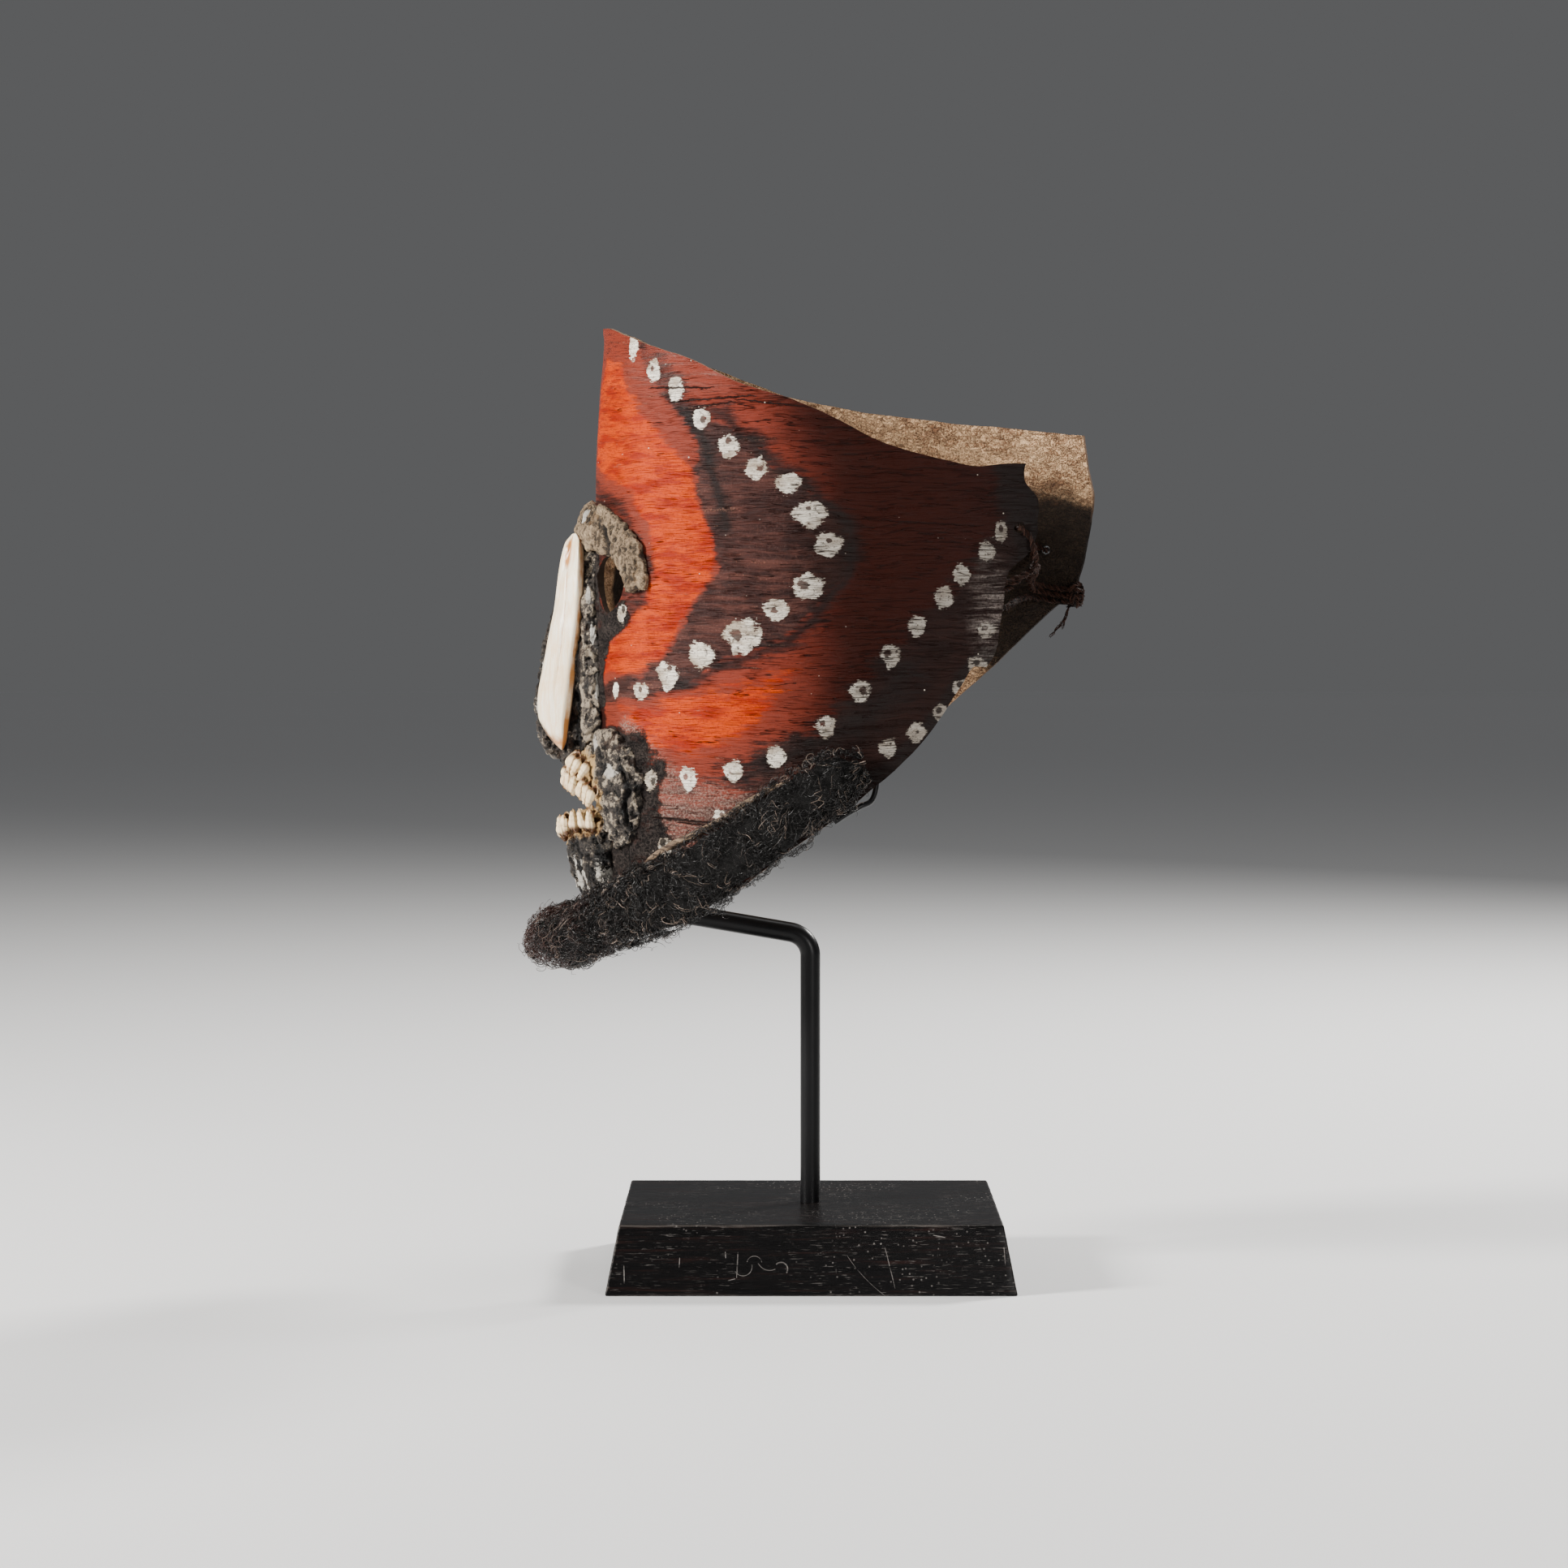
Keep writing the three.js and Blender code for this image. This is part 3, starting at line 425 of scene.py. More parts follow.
def frames_along(line):
    """At each station of a line, two directions square to it that turn no more than they must."""
    ahead = np.gradient(line, axis=0)
    ahead /= np.linalg.norm(ahead, axis=1)[:, None]
    first = np.cross(ahead[0], (0.31, 0.17, 0.93))
    side = [first / np.linalg.norm(first)]
    for direction in ahead[1:]:
        kept = side[-1] - direction * np.dot(side[-1], direction)
        side.append(kept / np.linalg.norm(kept))
    side = np.array(side)
    return side, np.cross(ahead, side)


def ring_faces(rings, sides):
    """Quads between rings of points, and a fan of triangles at either end, its hubs the last two points."""
    k, j = (grid.ravel() for grid in np.meshgrid(np.arange(rings - 1), np.arange(sides), indexing="ij"))
    a, b = k * sides + j, k * sides + (j + 1) % sides
    around, last = np.arange(sides), rings * sides
    after, tail = (around + 1) % sides, last - sides
    start = np.stack([np.full(sides, last), after, around], axis=1)
    end = np.stack([np.full(sides, last + 1), tail + around, tail + after], axis=1)
    return np.stack([a, b, b + sides, a + sides], axis=1), np.vstack([start, end])


def tube(line, radius, sides):
    """Points and faces of a closed tube; radius may change along it. Its ends are rounded off."""
    side, up = frames_along(line)
    turns = 2 * np.pi * np.arange(sides) / sides
    radius = np.broadcast_to(radius, len(line))
    ring = np.cos(turns)[None, :, None] * side[:, None] + np.sin(turns)[None, :, None] * up[:, None]
    points = (line[:, None] + radius[:, None, None] * ring).reshape(-1, 3)
    first, last = line[0] - line[1], line[-1] - line[-2]
    tips = np.array([line[0] + first / np.linalg.norm(first) * radius[0] * 0.3,
                     line[-1] + last / np.linalg.norm(last) * radius[-1] * 0.3])
    return np.vstack([points, tips]), *ring_faces(len(line), sides)


ROD_RADIUS = 0.0041
ROD_CORNER = np.array([0.0, 0.0, 0.1372])
ROD_BEND = 0.0098
ARM_REACH = 0.064
ROD_TIP = 0.184
rise_of_arm, swing_of_arm = math.radians(9.2), math.radians(6.5)
forwards = np.array([-math.cos(rise_of_arm) * math.cos(swing_of_arm),
                     math.cos(rise_of_arm) * math.sin(swing_of_arm), math.sin(rise_of_arm)])
upwards = np.array([0.0, 0.0, 1.0])


def bend_at(corner, start, end, radius, steps=16):
    """Stations round a bend of the given radius between two directions."""
    turn = math.acos(float(np.dot(start, end)))
    begin = corner - start * radius * math.tan(turn / 2)
    inward = end - start * np.dot(start, end)
    inward /= np.linalg.norm(inward)
    angle = np.linspace(0, turn, steps + 1)[:, None]
    return begin + radius * np.sin(angle) * start + radius * (1 - np.cos(angle)) * inward


front_corner = ROD_CORNER + ARM_REACH * forwards
rod_line = np.vstack([
    [(0, 0, 0.0105), (0, 0, 0.06), (0, 0, 0.10)],
    bend_at(ROD_CORNER, upwards, forwards, ROD_BEND),
    bend_at(front_corner, forwards, upwards, ROD_BEND),
    [(*front_corner[:2], ROD_TIP)],
])

black_paint, tree, shader = finish("black_paint", Specular_IOR_Level=0.13)
spot = node(tree, "TexCoord").outputs["Object"]
handled = noise(tree, spot, 60.0, 4.0)
colour = blend(tree, handled, (0.0030, 0.0030, 0.0033), (0.0064, 0.0064, 0.0070))
dress(tree, shader, colour, noise(tree, spot, 900.0, 2.0), 0.25, 0.0001, summed(tree, 0.22, (handled, 0.22)))

points, walls, caps = tube(rod_line, ROD_RADIUS, 40)
new_piece("bent_rod", points, [walls, caps], [black_paint], ["stand_rod"])


# Palm sheath: one sheet bent into an open C, its fibres running round the face. Outside it is painted with
# earth red, orange and soot and dotted with lime; inside it is bare, flaking bast. Its points are given by s,
# the distance round it from the nose line in millimetres, below 0 on the mask's left, and by the height z.

MASK_PLACE = np.array([-88.0, 14.0, 0.0])
MASK_TURN = math.radians(8)
SHEET_THICKNESS = 2.2


def through(*knots):
    """A smooth function through (x, y) knots that never swings past them, flat beyond the ends."""
    x, y = np.array(knots, float).T
    width = np.diff(x)
    rise = np.diff(y) / width
    slope = np.zeros(len(x))
    before, after = 2 * width[1:] + width[:-1], width[1:] + 2 * width[:-1]
    same_way = rise[:-1] * rise[1:] > 0
    safe = np.where(same_way[:, None], np.stack([rise[:-1], rise[1:]], axis=1), 1)
    slope[1:-1] = np.where(same_way, (before + after) / (before / safe[:, 0] + after / safe[:, 1]), 0)
    for end, next_one in ((0, 1), (-1, -2)):
        tilt = (2 * width[end] + width[next_one]) * rise[end] - width[end] * rise[next_one]
        tilt /= width[end] + width[next_one]
        slope[end] = tilt if tilt * rise[end] > 0 else 0

    def value(at):
        at = np.clip(at, x[0], x[-1])
        i = np.clip(np.searchsorted(x, at, side="right") - 1, 0, len(width) - 1)
        t = (at - x[i]) / width[i]
        h = t * t * (3 - 2 * t)
        lean = slope[i] * (1 - t) - slope[i + 1] * t
        return y[i] * (1 - h) + y[i + 1] * h + width[i] * t * (1 - t) * lean
    return value


heading_at = through((0, 0), (62, 62), (115, 83), (165, 96), (205, 110), (245, 128))
lean_at = through((100, 9), (150, 6), (200, 1), (320, 0), (354, 1.5), (386, 4.5), (400, 6))
left_top = through((0, 386), (20, 385), (50, 378), (76, 370), (94, 362), (124, 352), (160, 335), (176, 330),
                   (190, 327), (202, 328), (214, 328))
right_top = through((0, 386), (20, 385), (50, 378), (76, 370), (106, 360), (146, 353), (188, 348), (233, 343))
left_low = through((0, 138), (52, 144), (74, 150), (94, 158), (115, 172), (142, 191), (170, 215), (192, 238),
                   (200, 248))
right_low = through((0, 138), (52, 147), (74, 156), (94, 168), (115, 184), (142, 205), (170, 230), (196, 252),
                    (226, 273))
left_end = through((248, 198), (255, 202), (268, 204), (285, 207), (293, 215), (303, 219), (313, 219),
                   (322, 213), (328, 214))
right_end = through((273, 226), (288, 232), (300, 235), (318, 238), (326, 236), (343, 233))
LEFT_SPAN, RIGHT_SPAN = 206, 232

# The sheet's plan, followed from the nose line backwards in short straight steps
PLAN_STEP, PLAN_LENGTH, LEAN_REACH = 0.5, 262, 80
plan_s = np.arange(0, PLAN_LENGTH, PLAN_STEP)
plan_heading = np.radians(heading_at(plan_s[:-1] + PLAN_STEP / 2))
plan_x = np.concatenate([[0], np.cumsum(PLAN_STEP * np.sin(plan_heading))])
plan_y = np.concatenate([[0], np.cumsum(PLAN_STEP * np.cos(plan_heading))])


def on_mask(local):
    """From the mask's own frame, in millimetres, to the stand's frame, in metres."""
    x, y, z = np.asarray(local, float).T
    stood = np.stack([x * math.cos(MASK_TURN) + y * math.sin(MASK_TURN),
                      y * math.cos(MASK_TURN) - x * math.sin(MASK_TURN), z], axis=-1)
    return (stood + MASK_PLACE) * 0.001


def sheet_local(s, z, off=0.0):
    """A point of the sheet's outer face, or off it along its normal, in the mask's own frame."""
    s, z, off = np.broadcast_arrays(np.asarray(s, float), z, off)
    along, side = np.abs(s), np.where(s < 0, -1.0, 1.0)
    heading = np.radians(heading_at(along))
    lean = lean_at(z) * np.exp(-(along / LEAN_REACH) ** 2)
    x = np.interp(along, plan_s, plan_x) + lean - off * np.cos(heading)
    y = side * (np.interp(along, plan_s, plan_y) + off * np.sin(heading))
    return np.stack([x, y, z], axis=-1)


def on_sheet(s, z, off=0.0):
    return on_mask(sheet_local(s, z, off).reshape(-1, 3))


def smoothstep(value, low, high):
    t = np.clip((value - low) / (high - low), 0, 1)
    return t * t * (3 - 2 * t)


COLUMNS, ROWS = 300, 120
u, v = (grid.ravel() for grid in np.meshgrid(np.linspace(-1, 1, COLUMNS + 1), np.linspace(0, 1, ROWS + 1),
                                             indexing="ij"))
is_left = u < 0
along = np.abs(u) * np.where(is_left, LEFT_SPAN, RIGHT_SPAN)
low = np.where(is_left, left_low(along), right_low(along))
top = np.where(is_left, left_top(along), right_top(along))
flat_spot = np.stack([along * np.sign(u), v * 0, v * 0], axis=1)
top = top + 0.45 * grid_noise(flat_spot, 9.0, 21) * smoothstep(along, 4, 14)
low = low + 0.5 * grid_noise(flat_spot + 400, 8.0, 22)
sheet_z = low + (top - low) * v
reach = np.where(is_left, left_end(sheet_z) - LEFT_SPAN, right_end(sheet_z) - RIGHT_SPAN)
end_spot = np.stack([sheet_z, u * 0 + np.sign(u) * 900, v * 0], axis=1)
reach = reach + 0.5 * grid_noise(end_spot, 5.0, 23)
sheet_s = np.sign(u) * (along + reach * smoothstep(np.abs(u), 0.8, 1))
spot_on_sheet = np.stack([sheet_s, sheet_z, 0 * sheet_z], axis=1)

# Eye holes, mouth and tie holes, each cut by hand and a little uneven: (s, z, half width, half height)
LEFT_TIE, RIGHT_TIE = (-211.5, 302.5), (215, 296)
HOLES = [(-31.5, 281.5, 11, 11.5), (33, 281.5, 10, 11), (0, 193, 21, 3.4), (*LEFT_TIE, 2.2, 2.2),
         (*RIGHT_TIE, 2.0, 2.0)]
quad = (np.arange(COLUMNS)[:, None] * (ROWS + 1) + np.arange(ROWS)[None]).ravel()
quads = np.stack([quad, quad + ROWS + 1, quad + ROWS + 2, quad + 1], axis=1)
kept = np.ones(len(quads), bool)
for hole_s, hole_z, half_width, half_height in HOLES:
    across, over = (sheet_s - hole_s) / half_width, (sheet_z - hole_z) / half_height
    out = np.hypot(across, over) / (1 + 0.06 * np.sin(3 * np.arctan2(over, across) + hole_s))
    gone = out[quads].mean(axis=1) < 1
    kept &= ~gone
    rim = np.intersect1d(quads[gone], quads[~gone])
    sheet_s[rim] = hole_s + (sheet_s[rim] - hole_s) / out[rim]
    sheet_z[rim] = hole_z + (sheet_z[rim] - hole_z) / out[rim]
quads = quads[kept]

edge_gap = np.minimum.reduce([(1 - np.abs(u)) * 215, v * (top - low), (1 - v) * (top - low)])
thinning = 0.85 * (1 - smoothstep(edge_gap, 0, 9))
swell = (0.35 * grid_noise(spot_on_sheet, 34.0, 24) - 0.35) * smoothstep(edge_gap, 0, 14)
swell = swell + 1.4 * smoothstep(sheet_z, 379, 386) * np.exp(-(sheet_s / 9) ** 2)
spot_on_sheet = np.stack([sheet_s, sheet_z, 0 * sheet_z], axis=1)
flakes = grid_noise(spot_on_sheet * (0.55, 1.5, 1), 5.0, 25, 4)
back = -SHEET_THICKNESS + thinning + 0.1 + 0.35 * np.abs(flakes)
inner = on_sheet(sheet_s, sheet_z, np.minimum(back, swell - 0.5))

# The front and back layers meet round every free edge: each edge that one face alone has gets a wall.
count = len(sheet_s)
sides = np.vstack([quads[:, [k, (k + 1) % 4]] for k in range(4)])
code = np.sort(sides, axis=1) @ (count, 1)
first, uses = np.unique(code, return_index=True, return_counts=True)[1:]
open_edges = sides[first[uses == 1]]
start, end = open_edges.T
walls = np.stack([end, start, start + count, end + count], axis=1)
used, renumbered = np.unique(np.vstack([quads[:, ::-1], quads + count, walls[:, ::-1]]), return_inverse=True)
sheet_faces = renumbered.reshape(-1, 4)
face_finish = np.concatenate([np.zeros(len(quads)), np.ones(len(quads)), np.full(len(walls), 2)])

# Straight grain along X of the vector, in millimetres: soft bands, hair-thin dark lines and drying cracks.
grain, given, wanted = group(
    "grain",
    {"Vector": "Vector", "Cracked": "Float"},
    {"Bands": "Float", "Lines": "Float", "Cracks": "Float"},
)
bow = summed(grain, -4.5, (noise(grain, given["Vector"], 0.014, 3.0), 9.0))
bowed = vectors(grain, "ADD", given["Vector"], node(grain, "CombineXYZ", {"Y": bow}).outputs[0])
bands, lines, ridges, gaps = (
    noise(grain, stretched(grain, bowed, drawn), 1.0, detail, 0.66)
    for drawn, detail in (((0.030, 0.34, 0.2), 8.0), ((0.11, 2.9, 0.2), 5.0), ((0.020, 0.30, 0.2), 3.0),
                          ((0.075, 0.30, 0.2), 2.0)))
grain.links.new(bands, wanted["Bands"])
grain.links.new(step(grain, lines, 0.47, 0.34), wanted["Lines"])
off_ridge = maths(grain, "ABSOLUTE", maths(grain, "SUBTRACT", ridges, 0.5))
open_here = step(grain, summed(grain, gaps, (given["Cracked"], 0.22)), 0.60, 0.66)
grain.links.new(times(grain, step(grain, off_ridge, 0.016, 0.004), open_here), wanted["Cracks"])

# Crust: what dried paste shows everywhere. A film and dust lie on what stands out; what lies deep is
# darkened, as dirt and as painted shade.
crust, given, wanted = group(
    "crust",
    {"Vector": "Vector", "Raised": "Float", "Scale": "Float"},
    {"Film": "Float", "Dust": "Float", "Dirt_and_shade": "Float", "Grit": "Float", "Height": "Float"},
)
grit_scale = times(crust, given["Scale"], 9.0)
clouds = noise(crust, given["Vector"], given["Scale"], 8.0, 0.68)
chips = noise(crust, given["Vector"], times(crust, given["Scale"], 4.3), 6.0, 0.7)
crumbs = noise(crust, given["Vector"], grit_scale, 4.0, 0.75)
grit = step(crust, cells(crust, given["Vector"], grit_scale), 0.42, 0.20)
heaped = summed(crust, -2.5, (given["Raised"], 0.6), (clouds, 1.4), (chips, 2.2), (crumbs, 1.4))
crust.links.new(step(crust, heaped, -0.30, 0.30), wanted["Film"])
crust.links.new(step(crust, heaped, 0.40, 0.62), wanted["Dust"])
crust.links.new(step(crust, heaped, -0.34, -0.70), wanted["Dirt_and_shade"])
crust.links.new(times(crust, grit, step(crust, clouds, 0.50, 0.64)), wanted["Grit"])
crust.links.new(summed(crust, 0.0, (clouds, 1.2), (chips, 1.5), (crumbs, 0.6)), wanted["Height"])

BAST_BROWN, BAST_PALE, BAST_PATCH = (0.17, 0.072, 0.030), (0.94, 0.62, 0.36), (0.20, 0.10, 0.055)
BAST_GAP_SHADE, BAST_LINE, BAST_STAIN_AND_SHADOW = (0.085, 0.040, 0.020), (0.09, 0.045, 0.025), (0.007, 0.0045, 0.0035)

bast, tree, shader = finish("bare_bast", Roughness=0.85, Specular_IOR_Level=0.2)
place = attribute(tree, "place", "Vector")
strands = placed(tree, grain, {"Vector": place, "Cracked": 0.3})
ruffle = node(tree, "TexNoise", {"Vector": place, "Scale": 0.20, "Detail": 4.0, "Roughness": 0.6}).outputs
ruffled = vectors(tree, "ADD", place, stretched(tree, ruffle["Color"], (9.0, 8.0, 0.0)))
squeezed = stretched(tree, ruffled, (0.30, 0.72, 1.0))
flake = node(tree, "SeparateXYZ", {"Vector": cells(tree, squeezed, 1.0, output="Color")}).outputs
flake_edge = cells(tree, squeezed, 1.0, "DISTANCE_TO_EDGE")
patches, dust = noise(tree, place, 0.07, 8.0, 0.72), noise(tree, place, 1.3, 5.0, 0.75)
flaked = summed(tree, 0.0, (flake["X"], 0.16), (dust, 1.2), (patches, -0.5))
colour = blend(tree, step(tree, flaked, 0.22, 0.62), BAST_BROWN, BAST_PALE)
colour = blend(tree, step(tree, patches, 0.54, 0.70), colour, BAST_PATCH)
# Gaps between flakes are painted dark, partly as shade.
parted = times(tree, step(tree, flake_edge, 0.07, 0.0), step(tree, ruffle["Fac"], 0.42, 0.62))
colour = cover(tree, colour, BAST_GAP_SHADE, parted, 0.75)
colour = cover(tree, colour, BAST_LINE, strands["Lines"], 0.30)
# Dark stain, and at the far end the near wall's painted shadow.
stain = summed(tree, attribute(tree, "stain"), (patches, 0.7), (dust, 0.9))
colour = cover(tree, colour, BAST_STAIN_AND_SHADOW, step(tree, stain, 0.95, 1.50), 0.97)
height = summed(tree, step(tree, flake_edge, 0.0, 0.2), (flake["Y"], 0.5), (dust, 0.7))
dress(tree, shader, colour, height, 1.0, 0.0018)

cut_edge, tree, shader = finish("cut_edge", Roughness=0.8, Specular_IOR_Level=0.08)
place = attribute(tree, "place", "Vector")
strands = placed(tree, fibres, {"Vector": place, "Stretch": (0.5, 0.5, 0.3), "Scale": 1.2, "Waver": 2.0})
colour = blend(tree, strands["Streaks"], (0.030, 0.016, 0.010), (0.24, 0.145, 0.090))
# Darker where the stain lies; at the far end that is also painted shadow.
colour = blend(tree, attribute(tree, "stain"), colour, (0.008, 0.0055, 0.0045))
dress(tree, shader, colour, strands["Height"], 0.7, 0.0006)


def from_stretch(at, start, end):
    """How far points lie from a straight stretch."""
    way = np.subtract(end, start).astype(float)
    t = np.clip(((at - start) @ way) / (way @ way), 0, 1)
    return np.linalg.norm(at - start - t[:, None] * way, axis=1)


def inside_outline(s, z, outline, soft):
    """1 inside a closed outline and 0 outside it, soft over some millimetres, on both sides of the face."""
    at = np.stack([-np.abs(s), z], axis=1)
    nearest, crossings = np.full(len(at), 1e9), np.zeros(len(at), int)
    for (s1, z1), (s2, z2) in zip(outline, [*outline[1:], outline[0]]):
        nearest = np.minimum(nearest, from_stretch(at, (s1, z1), (s2, z2)))
        if z1 != z2:
            crossings += ((z1 > at[:, 1]) != (z2 > at[:, 1])) & (
                at[:, 0] < s1 + (at[:, 1] - z1) * (s2 - s1) / (z2 - z1))
    signed = np.where(crossings % 2, nearest, -nearest)
    return np.clip(0.5 + signed / soft, 0, 1)


def near_line(s, z, line, half_width, both=True):
    """1 on a line drawn on the sheet, fading to 0 at its half width."""
    at = np.stack([-np.abs(s) if both else s, z], axis=1)
    nearest = np.minimum.reduce([from_stretch(at, start, end) for start, end in zip(line, line[1:])])
    return np.clip(1 - nearest / half_width, 0, 1)


# Where each paint lies, as outlines and lines of (s, z) on the mask's left side
CHEVRON = [(-64, 356), (-77, 350), (-96, 344), (-107, 336), (-116, 327), (-130, 316), (-140, 306),
           (-144, 293), (-141, 282), (-130, 268), (-117, 258), (-97, 251), (-84, 244), (-70, 239),
           (-52, 234), (-30, 232), (-8, 236), (-8, 241), (-32, 242), (-52, 244), (-62, 251), (-68, 258),
           (-76, 268), (-84, 278), (-88, 290), (-88, 299), (-84, 306), (-80, 314), (-80, 332), (-76, 342),
           (-70, 350)]
CRESCENT = [(-50, 352), (-66, 340), (-79, 322), (-80, 314), (-84, 305), (-88, 299), (-88, 290), (-84, 278),
            (-76, 268), (-68, 258), (-62, 251), (-52, 245), (-18, 243), (-18, 254), (-42, 262), (-54, 272),
            (-59, 288), (-56, 304), (-46, 318), (-30, 324), (-12, 330), (-12, 352), (-20, 372), (-36, 370)]
EMBERS = [(-38, 232), (-57, 232), (-70, 238), (-88, 240), (-106, 241), (-120, 249), (-136, 262), (-128, 248),
          (-116, 236), (-106, 225), (-88, 215), (-73, 212), (-60, 215), (-42, 224)]
LOWER_DARK = [(-30, 222), (-57, 211), (-77, 208), (-84, 210), (-96, 214), (-108, 219), (-128, 224),
              (-142, 236), (-151, 246), (-161, 256), (-170, 266), (-180, 276), (-190, 287), (-200, 301),
              (-208, 316), (-230, 318), (-230, 200), (-170, 190), (-100, 120), (-20, 120)]
EYE_SOOT = [(-8, 326), (-30, 322), (-41, 316), (-49, 307), (-55, 298), (-58, 290), (-57, 280), (-58, 272),
            (-48, 266), (-39, 262), (-28, 262), (-8, 256)]
FIRST_SOOT = [(-44, 379), (-56, 379), (-66, 371), (-75, 365), (-76, 355), (-70, 352), (-60, 358), (-50, 366)]
CHEVRON_RIM = [(-68, 356), (-78, 350), (-93, 346), (-106, 337), (-117, 326), (-131, 315), (-141, 304),
               (-144, 292), (-141, 280), (-129, 266), (-116, 256), (-97, 250), (-84, 244), (-66, 240)]
INNER_STREAK = [(-70, 355), (-78, 346), (-83, 337), (-86, 329), (-90, 319), (-93, 303)]
# Beside the nose: the nose's shadow on the sheet, painted.
NOSE_SHADOW = [(-4, 306), (-24, 306), (-26, 292), (-23, 284), (-26, 262), (-27, 238), (-27, 212), (-4, 205)]
BACK_SOOT = [(-197, 330), (-203, 306), (-206, 286), (-212, 264), (-240, 255), (-240, 335)]
CHIN_SOOT = [(-30, 216), (-52, 214), (-62, 200), (-66, 188), (-80, 180), (-80, 150), (-30, 140)]
CHEEK_SOOT = [(-96, 206), (-128, 216), (-150, 230), (-166, 246)]
LOW_DARK = [(-60, 200), (-84, 198), (-108, 203), (-108, 180), (-80, 150), (-50, 150)]
LOW_DUST = [(-52, 222), (-66, 214), (-84, 206), (-104, 202), (-112, 196), (-100, 186), (-82, 168), (-60, 150),
            (-50, 170)]
LIP_DUST = [(-34, 224), (-42, 230), (-52, 226), (-62, 214), (-56, 206), (-44, 210)]
CHIN_CRUST = [(-26, 222), (-48, 224), (-58, 214), (-61, 200), (-64, 190), (-70, 180), (-66, 166), (-62, 150),
              (-50, 140), (0, 130), (0, 200)]
EYE_CRUST = [(-16, 300), (-21, 298), (-22, 286), (-24, 272), (-30, 270), (-38, 272), (-44, 274), (-48, 267),
             (-42, 262), (-33, 259), (-28, 246), (-26, 230), (-16, 230)]

ps = sheet_s + 3.2 * grid_noise(spot_on_sheet, 13.0, 31)
pz = sheet_z + 2.4 * grid_noise(spot_on_sheet, 11.0, 32)
along = np.abs(sheet_s)
# The orange embers fade towards the back: thinner paint, and painted shade where the light falls off.
orange = np.maximum(inside_outline(ps, pz, CRESCENT, 8),
                    (0.95 - 0.55 * smoothstep(along, 96, 132)) * inside_outline(ps, pz, EMBERS, 16))
dark = np.maximum.reduce([
    inside_outline(ps, pz, CHEVRON, 7), 0.62 * inside_outline(ps, pz, LOW_DARK, 12),
    inside_outline(ps, pz, LOWER_DARK, 14) * (0.55 + 0.45 * smoothstep(along, 85, 125)),
])
# Soot black on rims, streaks, eyes, chin, cheek, back end and lower edge; beside the nose, painted shadow.
soot = np.maximum.reduce([
    0.95 * near_line(ps, pz, CHEVRON_RIM, 9), near_line(ps, pz, INNER_STREAK, 8),
    0.8 * inside_outline(ps, pz, EYE_SOOT, 5), 0.8 * inside_outline(ps, pz, FIRST_SOOT, 6),
    0.75 * inside_outline(ps, pz, CHIN_SOOT, 12), 0.9 * inside_outline(ps, pz, BACK_SOOT, 9),
    inside_outline(ps, pz, NOSE_SHADOW, 5), 0.9 * near_line(ps, pz, CHEEK_SOOT, 18),
    0.85 - 0.85 * smoothstep(v * (top - low), 5, 15),
])
# Darker towards the back, sooner higher up: deeper paint, and painted shade where the light falls off round
# the wall.
dark_shift = 6 * grid_noise(spot_on_sheet, 22.0, 33) + 0.4 * np.clip(sheet_z - 318, 0, 60)
deep = smoothstep(along + dark_shift, 90, 154)
torn_s, torn_z = (9 * grid_noise(spot_on_sheet, 11.0, seed, 4) for seed in (34, 35))
crusted = np.maximum(inside_outline(ps + torn_s, pz + torn_z, CHIN_CRUST, 10),
                     inside_outline(ps, pz, EYE_CRUST, 4))
dusty = np.maximum(0.9 * inside_outline(ps, pz, LOW_DUST, 14), inside_outline(ps, pz, LIP_DUST, 9))
heaps = (0.45 + 0.75 * (0.5 - 1.6 * np.abs(grid_noise(spot_on_sheet * (1, 0.7, 1), 4.2, 36)))
         + 0.35 * grid_noise(spot_on_sheet, 1.9, 37))
laid_on = 1.7 * crusted * np.clip(heaps, 0, 2) * smoothstep(edge_gap, 0, 6)
sheet_points = np.vstack([on_sheet(sheet_s, sheet_z, swell + laid_on), inner])[used]

# Lime dots: (s, z, half width, half height), from the peak round to the mouth, along the jaw and at the back.
# Most have a hollow middle. Dot and hollow are measured outwards, each in parts of its own size.
DOTS = [(-45, 376, 3.6, 6.5), (-58, 366, 4.4, 5.0), (-70, 358, 4.2, 5.4), (-82, 346, 4.6, 4.8),
        (-94, 335, 4.8, 5.2), (-106, 326, 5.2, 4.8), (-119, 320, 6.0, 4.6), (-128, 308, 7.6, 5.8),
        (-135, 296, 6.4, 5.4), (-127, 279, 6.8, 5.6), (-114, 270, 6.2, 4.8), (-100, 260, 8.4, 7.4),
        (-82, 252, 6.4, 6.2), (-66, 244, 5.6, 6.0), (-52, 238, 4.2, 4.4), (-36, 238, 2.6, 4.0),
        (-58, 202, 3.6, 4.6), (-76, 203, 4.4, 5.0), (-96, 206, 4.5, 4.8), (-114, 212, 4.8, 5.0),
        (-134, 224, 4.4, 5.0), (-148, 238, 4.6, 4.8), (-160, 252, 4.2, 5.0), (-170, 264, 4.0, 4.8),
        (-181, 275, 4.2, 5.0), (-188, 284, 3.8, 4.8), (-198, 293, 3.6, 4.6), (-204, 301, 3.0, 4.8),
        (-194, 248, 4.2, 4.6), (-188, 239, 4.0, 4.2), (-180, 230, 4.0, 4.0), (-170, 222, 4.2, 4.2),
        (-159, 216, 4.4, 4.4), (-198, 262, 4.4, 3.4), (-64, 175, 4.0, 4.4), (-90, 188, 3.4, 3.4),
        (-42, 269, 2.6, 4.4)]
random = np.random.default_rng(7)
hollow = np.full((len(sheet_s), 3), 9.0)
dot = np.full(len(sheet_s), 1e3)
